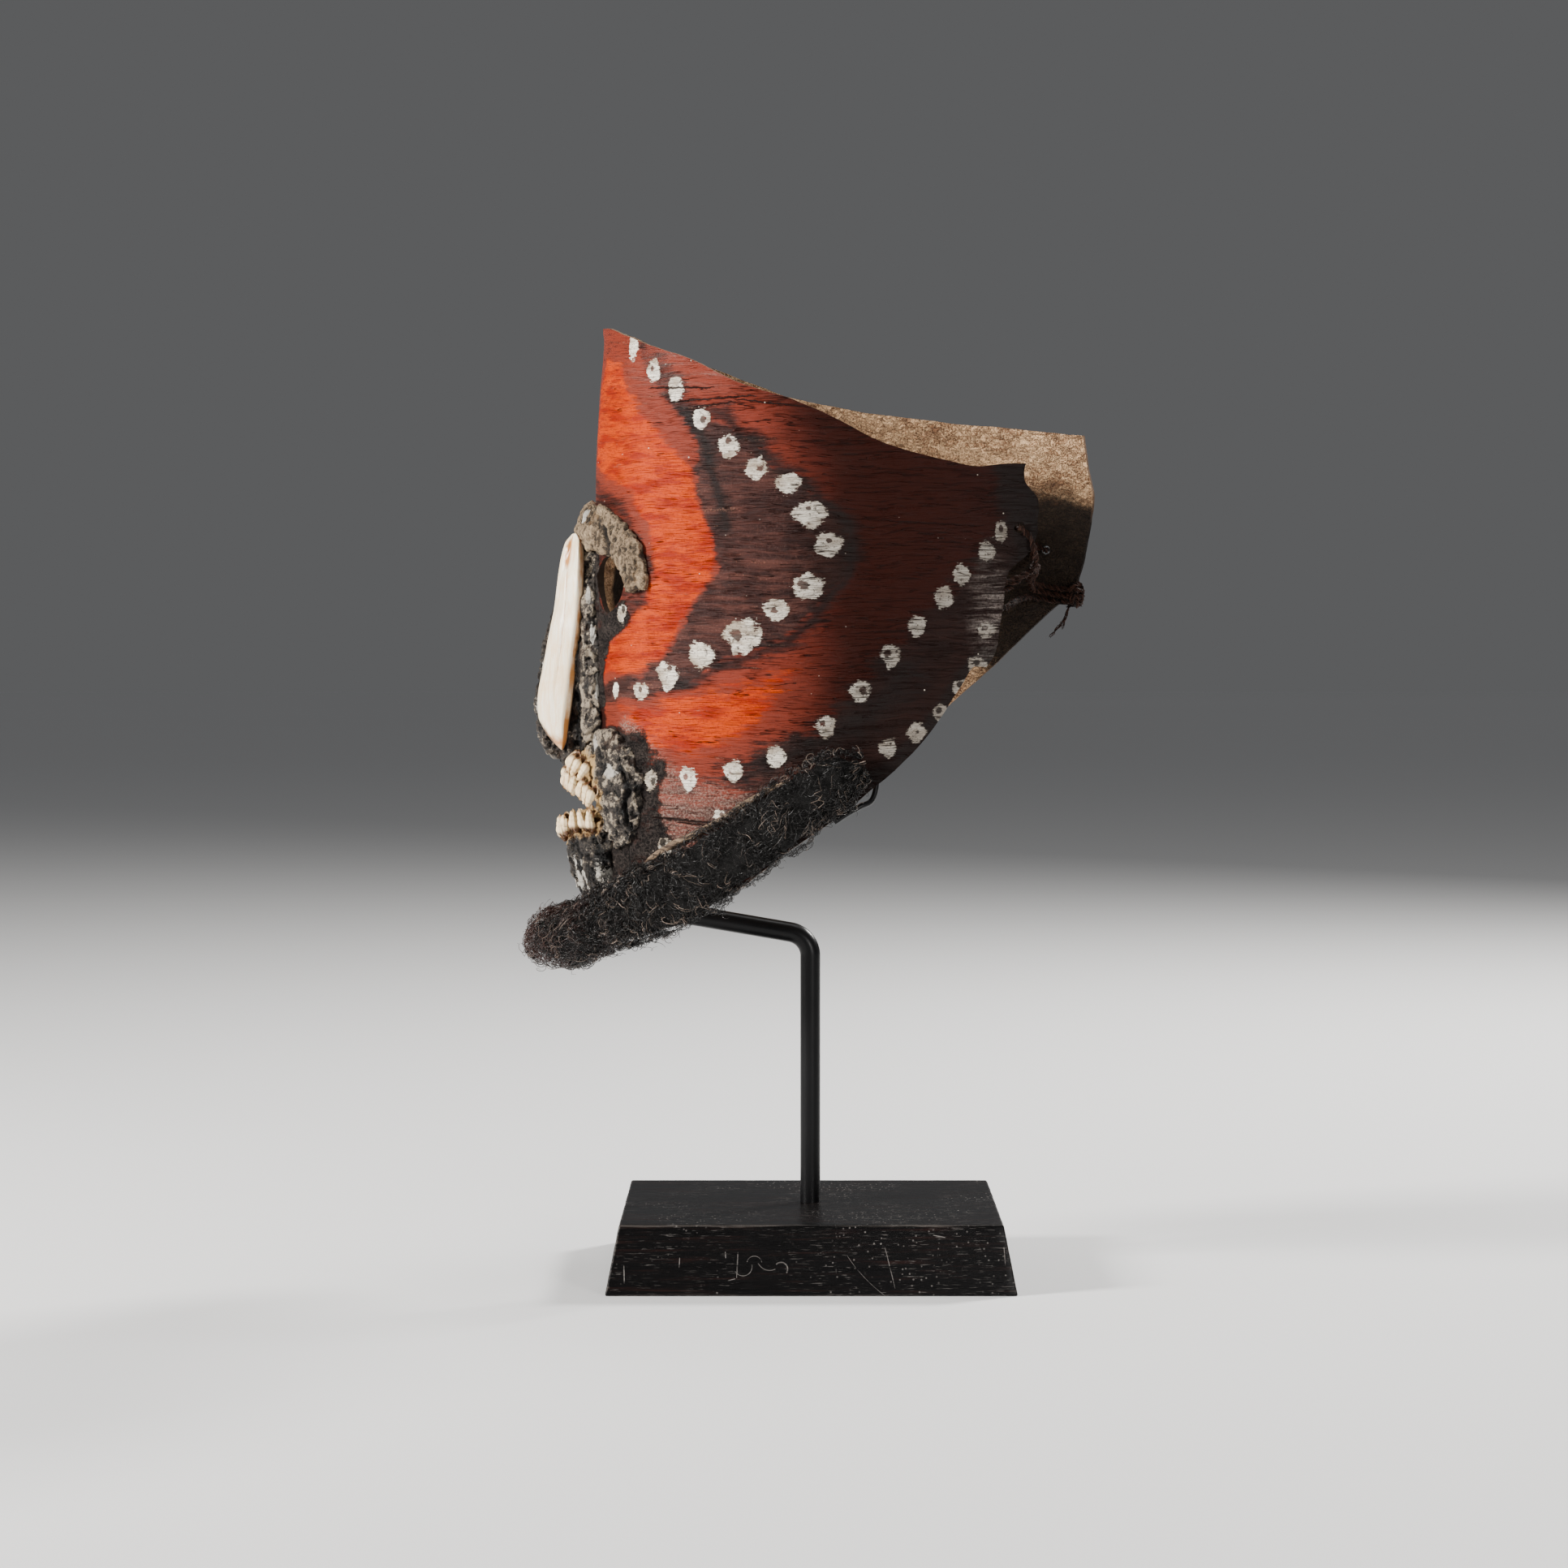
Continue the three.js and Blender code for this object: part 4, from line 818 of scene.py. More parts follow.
for side in (-1, 1):
    for k, (dot_s, dot_z, half_width, half_height) in enumerate(DOTS):
        shift = random.uniform(-2.5, 2.5, 2) * (side > 0)
        hole_place = random.uniform((-0.35, -0.1), (0.35, 0.6))
        hole_size = random.uniform(0.16, 0.40) * (random.random() < 0.72) + 0.01
        across = (sheet_s + side * dot_s - shift[0]) / (0.93 * half_width)
        over = (sheet_z - dot_z - shift[1]) / (0.93 * half_height)
        across = across * np.where(over < 0, 1 - 0.30 * over, 1)
        out = np.hypot(across, over)
        mine = out < dot
        dot = np.minimum(dot, out)
        hollow[mine] = np.stack([(across - hole_place[0]) / hole_size, (over - hole_place[1]) / hole_size,
                                 0 * over], axis=1)[mine]

RED, SHADED_DEEP_RED, RED_BAND = (0.160, 0.0255, 0.0135), (0.0165, 0.0022, 0.0007), (0.060, 0.0070, 0.0030)
THIN_ORANGE, ORANGE, ORANGE_SPECK = (0.235, 0.0120, 0.0004), (0.43, 0.040, 0.0001), (0.145, 0.0070, 0.0006)
DARK_UMBER, UMBER, UMBER_SPECK = (0.015, 0.0088, 0.0080), (0.056, 0.022, 0.017), (0.090, 0.040, 0.031)
UMBER_PATCH, SHADED_DEEP_UMBER = (0.0085, 0.0068, 0.0068), (0.0062, 0.0022, 0.0015)
SOOT_AND_SHADE, GRAIN_LINE, SPLIT_WOOD = (0.0070, 0.0052, 0.0048), (0.016, 0.0034, 0.0020), (0.008, 0.0028, 0.002)
SCUFFED, SHEEN_HIGHLIGHT = (0.44, 0.20, 0.13), (0.29, 0.250, 0.225)
PINK_DUST, PALE_DUST = (0.110, 0.046, 0.036), (0.26, 0.190, 0.155)
CRUST_BLACK, CRUST_GREY, CRUST_RED, CRUST_PALE = ((0.0060, 0.0050, 0.0049), (0.042, 0.033, 0.029),
                                                  (0.060, 0.016, 0.010), (0.50, 0.42, 0.32))
THIN_LIME, LIME, SHADED_LIME, LIME_FLECK = ((0.36, 0.30, 0.23), (0.76, 0.70, 0.60), (0.125, 0.112, 0.098),
                                         (0.70, 0.62, 0.52))
# Splits along the grain: (s, z) to (s, z) and width
SPLITS = [(-55, 360.1, -88, 359.3, 0.55), (-66, 354.0, -106, 355.8, 0.60), (-96, 354.6, -128, 350.8, 0.45),
          (-78, 351.8, -99, 353.6, 0.40), (-58, 188.2, -93, 186.0, 0.75), (-70, 186.4, -97, 184.4, 0.50),
          (-150, 306.5, -196, 304.0, 0.35), (-168, 331.0, -201, 329.6, 0.30),
          (-146, 262.0, -186, 264.5, 0.30), (62, 350.0, 98, 352.0, 0.50)]

red_paint, tree, shader = finish("earth_paint", Specular_IOR_Level=0.07)
place = attribute(tree, "place", "Vector")
is_deep_and_shaded, is_dusty = attribute(tree, "deep"), attribute(tree, "dusty")
wood = placed(tree, grain, {"Vector": place, "Cracked": is_deep_and_shaded})
mottle = noise(tree, stretched(tree, place, (0.06, 0.12, 0.1)), 1.0, 8.0, 0.72)
speckle = noise(tree, place, 1.0, 6.0, 0.78)
fray = summed(tree, -0.95, (mottle, 0.8), (wood["Bands"], 1.0), (wood["Lines"], 0.25))


def paint_mask(name, strength, low, high):
    """Where a paint lies, its border frayed along the grain."""
    value = attribute(tree, name)
    border = times(tree, rest(tree, value), value, 4.0)
    return step(tree, summed(tree, value, (times(tree, fray, strength), border)), low, high)


# Towards the back the red and the umber darken: deeper paint and painted shade.
ground = blend(tree, paint_mask("deep", 0.45, 0.02, 0.96), RED, SHADED_DEEP_RED)
toward_front = rest(tree, paint_mask("deep", 0.4, 0.0, 0.8))
ground = cover(tree, ground, RED_BAND, times(tree, step(tree, wood["Bands"], 0.50, 0.70), toward_front), 0.45)
strokes = noise(tree, stretched(tree, place, (0.05, 0.22, 0.1)), 1.0, 7.0, 0.7)
bright = blend(tree, step(tree, strokes, 0.40, 0.58), THIN_ORANGE, ORANGE)
bright = cover(tree, bright, ORANGE_SPECK, step(tree, speckle, 0.50, 0.60), 0.65)
colour = blend(tree, paint_mask("orange", 1.7, 0.32, 0.68), ground, bright)
umber = blend(tree, step(tree, wood["Bands"], 0.42, 0.60), DARK_UMBER, UMBER)
umber = cover(tree, umber, UMBER_SPECK, step(tree, speckle, 0.50, 0.64), 0.55)
umber = cover(tree, umber, UMBER_PATCH, step(tree, mottle, 0.47, 0.60), 0.75)
umber = cover(tree, umber, SHADED_DEEP_UMBER, paint_mask("deep", 0.6, 0.30, 0.90), 0.85)
colour = cover(tree, colour, umber, paint_mask("dark", 1.7, 0.32, 0.70), 0.93)
# Soot black, and beside the nose painted shadow.
colour = cover(tree, colour, SOOT_AND_SHADE, paint_mask("soot", 2.0, 0.30, 0.95), 0.90)
lined = times(tree, wood["Lines"], step(tree, mottle, 0.30, 0.62))
colour = cover(tree, colour, GRAIN_LINE, lined, 0.72)
scuffed = step(tree, summed(tree, wood["Bands"], (speckle, 0.8)), 1.02, 1.20)
colour = cover(tree, colour, SCUFFED, times(tree, scuffed, toward_front), 0.42)
# Painted sheen: pale streaks where light glances off the outside.
burnished = times(tree, attribute(tree, "burnished"), step(tree, wood["Bands"], 0.42, 0.66),
                  step(tree, speckle, 0.34, 0.60))
colour = cover(tree, colour, SHEEN_HIGHLIGHT, burnished, 0.90)
threads = noise(tree, stretched(tree, place, (0.26, 1.5, 1.0)), 1.0, 6.0, 0.75, 0.6)
dusted = step(tree, summed(tree, 0.0, (is_dusty, 0.9), (threads, 1.3), (speckle, 0.7)), 1.50, 2.05)
dust = blend(tree, step(tree, speckle, 0.44, 0.60), PINK_DUST, PALE_DUST)
colour = cover(tree, colour, dust, times(tree, dusted, is_dusty), 0.85)

crusty = placed(tree, crust, {"Vector": place, "Raised": -0.10, "Scale": 0.20})
crust_here = summed(tree, 0.0, (attribute(tree, "crusted"), 1.25), (fray, 0.9), (crusty["Height"], 0.62))
crust_here = step(tree, crust_here, 1.50, 1.74)
dried = blend(tree, crusty["Film"], CRUST_BLACK, CRUST_GREY)
dried = cover(tree, dried, CRUST_RED, step(tree, mottle, 0.52, 0.66), 0.45)
dried = cover(tree, dried, CRUST_PALE, crusty["Dust"], 0.9)
colour = blend(tree, crust_here, colour, dried)

dot_out = attribute(tree, "dot")
hollow_out = attribute(tree, "hollow", "Vector")
hollow_out = node(tree, "VectorMath", {0: hollow_out}, operation="LENGTH").outputs["Value"]
lobes = noise(tree, place, 0.20, 1.0)
horns = noise(tree, stretched(tree, place, (0.45, 1.3, 0.5)), 1.0, 4.0, 0.7)
ragged = summed(tree, -1.10, (lobes, 0.9), (horns, 1.3))
in_hollow = step(tree, summed(tree, hollow_out, (ragged, 1.5)), 1.0, 0.85)
pricked = most(tree, step(tree, speckle, 0.565, 0.62), times(tree, wood["Lines"], 0.8),
               step(tree, noise(tree, place, 0.42, 5.0, 0.7), 0.575, 0.63))
in_dot = times(tree, step(tree, maths(tree, "ADD", dot_out, ragged), 1.0, 0.93),
               maths(tree, "LESS_THAN", dot_out, 1.34), rest(tree, times(tree, in_hollow, 0.9)),
               rest(tree, times(tree, pricked, 0.85)))
lime = blend(tree, step(tree, mottle, 0.40, 0.58), THIN_LIME, LIME)
# Towards the back the lime is painted darker, as shade.
colour = blend(tree, in_dot, colour, cover(tree, lime, SHADED_LIME, is_deep_and_shaded, 0.80))

wobble = node(tree, "TexNoise", {"Vector": place, "Scale": 0.5, "Detail": 4.0}).outputs["Color"]
splintered = vectors(tree, "ADD", place, stretched(tree, wobble, (0.0, 1.6, 0.0)))
split = wood["Cracks"]
for s1, z1, s2, z2, width in SPLITS:
    mark = placed(tree, slit, {"Vector": splintered, "Start": (s1, z1, 0.0), "End": (s2, z2, 0.0),
                               "Width": width})["Mark"]
    split = most(tree, split, mark)
colour = cover(tree, colour, SPLIT_WOOD, split, 0.94)
flecks = times(tree, step(tree, cells(tree, place, 0.28), 0.10, 0.05), step(tree, lobes, 0.60, 0.64))
colour = cover(tree, colour, LIME_FLECK, flecks, 0.8)
roughness = summed(tree, 0.10, (wood["Bands"], 0.26), (in_dot, 0.30), (crust_here, 0.4), (speckle, 0.14))
height = summed(tree, wood["Bands"], (lined, -0.9), (speckle, 0.6), (in_dot, 0.35), (split, -3.0),
                (times(tree, crusty["Height"], crust_here), 3.2))
dress(tree, shader, colour, height, 0.7, 0.0005, roughness)

# Besides its paint: the dark stain inside, which at the far end also stands for the near wall's shadow, and
# patches of painted sheen on the outside
far_stain_and_shadow = (smoothstep(sheet_s, 170, 206) * (1 - smoothstep(sheet_z, 304, 332))
             * (1 - 0.7 * smoothstep(sheet_s, 226, 234) * smoothstep(sheet_z, 306, 322)))
near_stain = smoothstep(-sheet_s, 182, 204) * (1 - smoothstep(sheet_z, 300, 322))
from_eye = np.hypot((along - 32) / 15, (sheet_z - 281) / 17) + 0.5 * grid_noise(spot_on_sheet, 9.0, 38)
stain = np.maximum.reduce([far_stain_and_shadow, near_stain, 0.9 - 0.9 * smoothstep(from_eye, 0.85, 1.5)])
# Painted sheen: a patch at the back end and a fainter one below the crest.
burnished = np.maximum(np.clip(1.3 - np.hypot((sheet_s + 199) / 8, (sheet_z - 270) / 19), 0, 1),
                       0.25 * np.clip(1.3 - np.hypot((sheet_s + 90) / 60, (sheet_z - 366) / 9), 0, 1))

sheet = new_piece("palm_sheath", sheet_points, [sheet_faces], [red_paint, bast, cut_edge],
                  ["mask_sheet"], face_finish)
front_and_back = np.tile(np.arange(count), 2)[used]
give(sheet, "place", np.stack([sheet_s, sheet_z, 0 * sheet_s], axis=1)[front_and_back])
for name, values in (("orange", orange), ("dark", dark), ("soot", soot), ("deep", deep), ("hollow", hollow),
                     ("dot", np.minimum(dot, 3)), ("stain", stain), ("crusted", crusted), ("dusty", dusty),
                     ("burnished", burnished)):
    give(sheet, name, values[front_and_back])


# Clay brow, resin nose, lips and chin: four pieces of paste pressed on the sheet by hand, brown clay over
# the eyes and black resin for the nose and round the mouth. They dried lumpy and cracked, and carry lime.

def off_mask(points):
    """From the stand's frame, in metres, to the mask's own frame, in millimetres."""
    x, y, z = (np.asarray(points, float) * 1000 - MASK_PLACE).T
    return np.stack([x * math.cos(MASK_TURN) - y * math.sin(MASK_TURN),
                     y * math.cos(MASK_TURN) + x * math.sin(MASK_TURN), z], axis=-1)


AT_ONCE = 20000


def laid_flat(local):
    """Where points near the face lie over the laid-out sheet: s, z and how far off it."""
    samples = np.arange(0, 165, PLAN_STEP)
    curve_x, curve_y = np.interp(samples, plan_s, plan_x), np.interp(samples, plan_s, plan_y)
    fade = np.exp(-(samples / LEAN_REACH) ** 2)
    s, off = np.empty(len(local)), np.empty(len(local))
    for start in range(0, len(local), AT_ONCE):
        these = slice(start, start + AT_ONCE)
        x, y, z = local[these].T
        from_x = x[:, None] - curve_x - lean_at(z)[:, None] * fade
        from_y = np.abs(y)[:, None] - curve_y
        k = (from_x ** 2 + from_y ** 2).argmin(axis=1)
        rows = np.arange(len(k))
        heading = np.radians(heading_at(samples[k]))
        s[these] = np.where(y < 0, -1, 1) * samples[k]
        off[these] = from_y[rows, k] * np.sin(heading) - from_x[rows, k] * np.cos(heading)
    return s, local[:, 2], off


def point_normals(points, faces):
    """Mean normals of a mesh's points."""
    across, over = points[faces[:, 2]] - points[faces[:, 0]], points[faces[:, 3]] - points[faces[:, 1]]
    of_face = np.cross(across, over)
    total = np.zeros_like(points)
    for column in faces.T:
        for axis in range(3):
            total[:, axis] += np.bincount(column, of_face[:, axis], len(points))
    return total / np.maximum(np.linalg.norm(total, axis=1), 1e-12)[:, None]


def evenly_meshed(node_name, cell, smoothing):
    """A fine even skin over the solid, softened, in the mask's own frame."""
    copy = bpy.data.objects.new("skin", bpy.data.objects[node_name].data.copy())
    bpy.context.scene.collection.objects.link(copy)
    even = copy.modifiers.new("even", "REMESH")
    even.mode, even.voxel_size = "VOXEL", cell * 0.001
    mesh = copy.evaluated_get(bpy.context.evaluated_depsgraph_get()).to_mesh()
    points = np.empty(3 * len(mesh.vertices))
    mesh.vertices.foreach_get("co", points)
    corners = np.empty(len(mesh.loops), np.int32)
    mesh.loops.foreach_get("vertex_index", corners)
    used_mesh = copy.data
    bpy.data.objects.remove(copy)
    bpy.data.meshes.remove(used_mesh)
    points, faces = off_mask(points.reshape(-1, 3)), corners.reshape(-1, 4)
    ends = np.vstack([faces[:, [k, (k + 1) % 4]] for k in range(4)])
    friends = np.bincount(ends[:, 0], minlength=len(points))[:, None]
    for _ in range(smoothing):
        near = np.stack([np.bincount(ends[:, 0], axis[ends[:, 1]], len(points)) for axis in points.T], axis=1)
        points = 0.4 * points + 0.6 * near / friends
    return points, faces


def sculpted(node_name, seed, lump, crease, cracks, cell):
    """Paste over the solid: hand lumps, ridges, plates, shrinkage cracks, pits, and long cracks drawn in
    (s, z). Where it touches the sheet it sinks in a little."""
    points, faces = evenly_meshed(node_name, cell, 6)
    s, z, off = laid_flat(points)
    free = smoothstep(off, 0.5, 1.6)
    heading = np.radians(heading_at(np.abs(s)))
    sideways = np.stack([np.sin(heading), np.sign(s) * np.cos(heading), 0 * s], axis=1)
    points = points + 2.0 * lump * (sideways * grid_noise(points, 5.5, seed + 9, 3)[:, None]
                                    + np.array([0, 0, 1]) * grid_noise(points, 5.5, seed + 10, 3)[:, None])
    warped = points + 1.4 * np.stack([grid_noise(points, 5.0, seed + k) for k in (1, 2, 3)], axis=1)
    ragged_by = 0.9 * grid_noise(points, 2.1, seed + 13, 2)[:, None]
    points = points + lump * ragged_by * (sideways + np.array([0, 0, 0.5]))
    raised = lump * (0.8 * grid_noise(points, 7.0, seed + 4, 2) + 0.30 * grid_noise(points, 2.6, seed + 5, 2))
    ridges = 0.5 - 1.8 * np.abs(grid_noise(warped * (1, 1, 0.55), 3.6, seed + 12, 3))
    raised = raised + 0.95 * lump * np.clip(ridges, -0.6, 0.5)
    net = np.abs(grid_noise(warped, 8.0, seed + 6, 2))
    raised = raised - crease * np.clip(1 - net / 0.07, 0, 1)
    plates = 2.6 * grid_noise(warped * (1, 1, 0.7), 7.0, seed + 11, 3)
    whole = np.floor(plates)
    raised = raised + 0.85 * lump * (whole + smoothstep(plates - whole, 0.38, 0.62))
    pits = grid_noise(points, 2.2, seed + 7, 1)
    raised = raised - crease * 0.9 * smoothstep(pits, 0.42, 0.62)
    for line, depth in cracks:
        raised = raised - depth * near_line(s, z, line, 1.6, both=False) ** 0.7
    raised = raised + 0.30 * grid_noise(points, 1.2, seed + 8, 1)
    points = points + point_normals(points, faces) * (raised * free)[:, None]
    inwards = np.stack([np.cos(heading), -np.sign(s) * np.sin(heading), 0 * s], axis=1)
    points = points + inwards * (1 - free)[:, None]
    proud = np.clip(0.75 * (raised - raised.mean()) - 0.55 * lump * (whole - whole.mean()), -1, 1)
    return points, faces, s, z, off, proud


def chalked(s, z, spots):
    """1 inside each (s, z, half width, half height) smear of lime, fading outwards."""
    value = np.zeros(len(s))
    for spot_s, spot_z, half_width, half_height in spots:
        value = np.maximum(value, 1.5 - np.hypot((s - spot_s) / half_width, (z - spot_z) / half_height))
    return np.clip(value, 0, 1)


PASTE_LIME, DARK_OCHRE, OCHRE = (0.66, 0.62, 0.55), (0.10, 0.040, 0.012), (0.66, 0.43, 0.19)


def paste_finish(name, body, film, dust, dirt_and_shade, stain, gloss):
    """Dried paste: a body colour, a film, pale dust, dirt and painted shade in the hollows, a warm stain,
    ochre and smears of lime.
    """
    material, tree, shader = finish(name, Specular_IOR_Level=0.3)
    place = attribute(tree, "place", "Vector")
    skin = placed(tree, crust, {"Vector": place, "Raised": attribute(tree, "raised"), "Scale": 0.16})
    ragged = noise(tree, place, 0.8, 5.0, 0.75)
    colour = blend(tree, skin["Film"], body, film)
    colour = cover(tree, colour, stain, step(tree, noise(tree, place, 0.07, 5.0, 0.7), 0.55, 0.70), 0.65)
    colour = cover(tree, colour, dust, skin["Dust"], 0.85)
    colour = cover(tree, colour, dirt_and_shade, skin["Dirt_and_shade"], 0.9)
    colour = cover(tree, colour, dust, skin["Grit"], 0.5)
    bedded = step(tree, summed(tree, attribute(tree, "ochre"), (ragged, 1.2)), 0.95, 1.35)
    colour = blend(tree, bedded, colour, blend(tree, skin["Film"], DARK_OCHRE, OCHRE))
    lime_here = step(tree, summed(tree, -1.55, (attribute(tree, "chalk"), 1.0), (ragged, 2.1)), 0.0, 0.22)
    colour = blend(tree, lime_here, colour, PASTE_LIME)
    roughness = summed(tree, gloss, (skin["Dust"], 0.3), (lime_here, 0.3))
    dress(tree, shader, colour, summed(tree, skin["Height"], (lime_here, 0.3)), 1.0, 0.0018, roughness)
    return material


clay = paste_finish("brown_clay", body=(0.060, 0.041, 0.025), film=(0.35, 0.250, 0.155),
                    dust=(0.62, 0.47, 0.29), dirt_and_shade=(0.010, 0.007, 0.005), stain=(0.27, 0.145, 0.055),
                    gloss=0.62)
resin = paste_finish("black_resin", body=(0.0085, 0.0072, 0.0068), film=(0.072, 0.060, 0.051),
                     dust=(0.50, 0.41, 0.30), dirt_and_shade=(0.0024, 0.0020, 0.0018), stain=(0.070, 0.034, 0.018),
                     gloss=0.42)

FLANK_BACK = -5
# Each paste: (node, slot, finish, seed, lump, crease, mesh cell, long cracks with depths, smears of lime)
PASTES = {
    "clay_brow": ("brow", "clay", clay, 51, 0.8, 0.7, 0.8, [([(-33, 303), (-36, 297), (-35, 291)], 2.0)],
                  [(-16, 309, 1.5, 3), (18, 308, 2, 2)]),
    "resin_nose": ("nose", "resin", resin, 61, 0.9, 0.9, 0.8, [],
                   [(-3.4, 277, 1.0, 5), (-2.6, 262, 0.9, 5), (-1.4, 240, 0.8, 6), (-21.5, 246, 1.4, 4),
                    (-24, 232, 1.4, 4), (3, 270, 1.2, 6), (2, 240, 1.0, 6), (22, 240, 1.5, 5)]),
    "resin_upper_lip": ("upper_lip", "resin", resin, 71, 1.0, 1.0, 0.7,
                        [([(-46, 207), (-49.5, 198), (-47, 190), (-48.5, 182)], 2.6),
                         ([(-30, 216), (-35, 211), (-37, 205)], 1.4),
                         ([(44, 205), (47, 196), (45, 188)], 2.2)],
                        [(-28, 216, 2.2, 3.0), (-20, 215, 3, 2.2), (-41.5, 205.5, 3.2, 3.4),
                         (-14, 208, 3.4, 2.6), (42, 206, 3, 3), (20, 214, 3, 3)]),
    "resin_chin": ("chin", "resin", resin, 81, 1.1, 1.0, 0.7,
                   [([(-23, 186), (-26, 172), (-25, 160)], 2.4), ([(-12, 176), (-15, 169), (-13, 162)], 1.2),
                    ([(22, 184), (24, 165)], 2.0)],
                   [(-10, 162, 1.7, 8), (-17, 161, 1.5, 8), (-3, 162, 1.6, 7), (-25, 162, 1.7, 7),
                    (8, 160, 2, 6), (18, 160, 2, 6)]),
}
laid_pastes = {}
for name, (node_name, slot, material, seed, lump, crease, cell, cracks, spots) in PASTES.items():
    points, faces, s, z, off, raised = sculpted(node_name, seed, lump, crease, cracks, cell)
    raised = raised - 0.30 * (node_name == "chin") + 0.26 * (node_name == "upper_lip")
    if node_name == "nose":
        # Behind the flank the plate is paler; along the joint before it a dark line is painted as shade.
        behind = points[:, 0] - FLANK_BACK
        raised = raised + 0.62 * smoothstep(behind, 0.6, 1.6) - 1.8 * np.exp(-(behind / 0.8) ** 2)
    paste = new_piece(name, on_mask(points), [faces], [material], [node_name])
    give(paste, "place", points)
    give(paste, "raised", raised)
    give(paste, "chalk", chalked(np.sign(s) * off if node_name == "nose" else s, z, spots))
    laid_pastes[node_name] = (paste, s, z)


# Tusks: a boar's tusk split lengthwise, one half along each flank of the nose with its point downwards. Each
# has a shallow groove and a ground bevel behind, and is stained where the resin grips it.

TUSK_LOW, TUSK_TOP, TUSK_SEAT_TOP, TUSK_THICKNESS = 213.5, 302, 296, 5.2
ridge_at = through((205, 12), (207.5, 19), (214.7, 23.7), (222.7, 25.8), (233, 26.2), (246, 24.4),
                   (253, 23.5), (262, 22.2), (270, 18.8), (278, 16.7), (291.5, 13), (303, 8.5))
flank_at = through((205, 7), (212, 11.5), (225, 13.5), (245, 13), (270, 11.5), (290, 9.5), (303, 7))
tusk_front = through((213.5, 13.4), (217, 17.4), (222, 21), (227, 23.4), (233, 23.8), (250, 21), (270, 17.2),
                     (298, 12.6), (302, 9.5))
tusk_back = through((213.5, 12.4), (218, 10.4), (225, 9.2), (233, 7.8), (250, 5.8), (270, 3.6), (290, 3.2),
                    (299, 4.2), (302, 6.5))
tusk_bulge = through((0, 0), (0.04, 0.5), (0.2, 0.86), (0.46, 1), (0.80, 0.94), (0.84, 0.86), (0.93, 0.50),
                     (1, 0))
groove_at = through((213, 0.55), (250, 0.52), (280, 0.42), (302, 0.35))


def flank_width(x, z):
    share = np.clip((x + ridge_at(z) - 2) / (FLANK_BACK + ridge_at(z) - 2), 0, 1)
    return (0.42 + 0.58 * share) * flank_at(z)


IVORY, YELLOW_IVORY, OLD_IVORY = (0.94, 0.85, 0.69), (0.86, 0.66, 0.42), (0.84, 0.60, 0.33)
TUSK_STAIN, TUSK_GRIME_AND_SHADE = (0.46, 0.20, 0.06), (0.10, 0.055, 0.03)

ivory, tree, shader = finish("tusk_ivory", Specular_IOR_Level=0.5, Subsurface_Weight=0.12,
                             Subsurface_Scale=0.004, Subsurface_Radius=(1.0, 0.6, 0.3))
place = attribute(tree, "place", "Vector")
lines = placed(tree, fibres, {"Vector": place, "Stretch": (1.0, 1.0, 0.05), "Scale": 0.9, "Waver": 2.5})
clouds = noise(tree, place, 0.09, 5.0, 0.6)
colour = blend(tree, step(tree, lines["Streaks"], 0.35, 0.68), YELLOW_IVORY, IVORY)
colour = cover(tree, colour, OLD_IVORY, step(tree, clouds, 0.52, 0.70), 0.55)
stained = step(tree, summed(tree, attribute(tree, "stain"), (clouds, 0.9)), 0.72, 1.15)
grime_and_shade_here = step(tree, summed(tree, attribute(tree, "grime_and_shade"), (lines["Streaks"], 0.9)), 0.78, 1.20)
colour = blend(tree, grime_and_shade_here, blend(tree, stained, colour, TUSK_STAIN), TUSK_GRIME_AND_SHADE)
dress(tree, shader, colour, lines["Height"], 0.35, 0.0003, summed(tree, 0.24, (grime_and_shade_here, 0.4)))

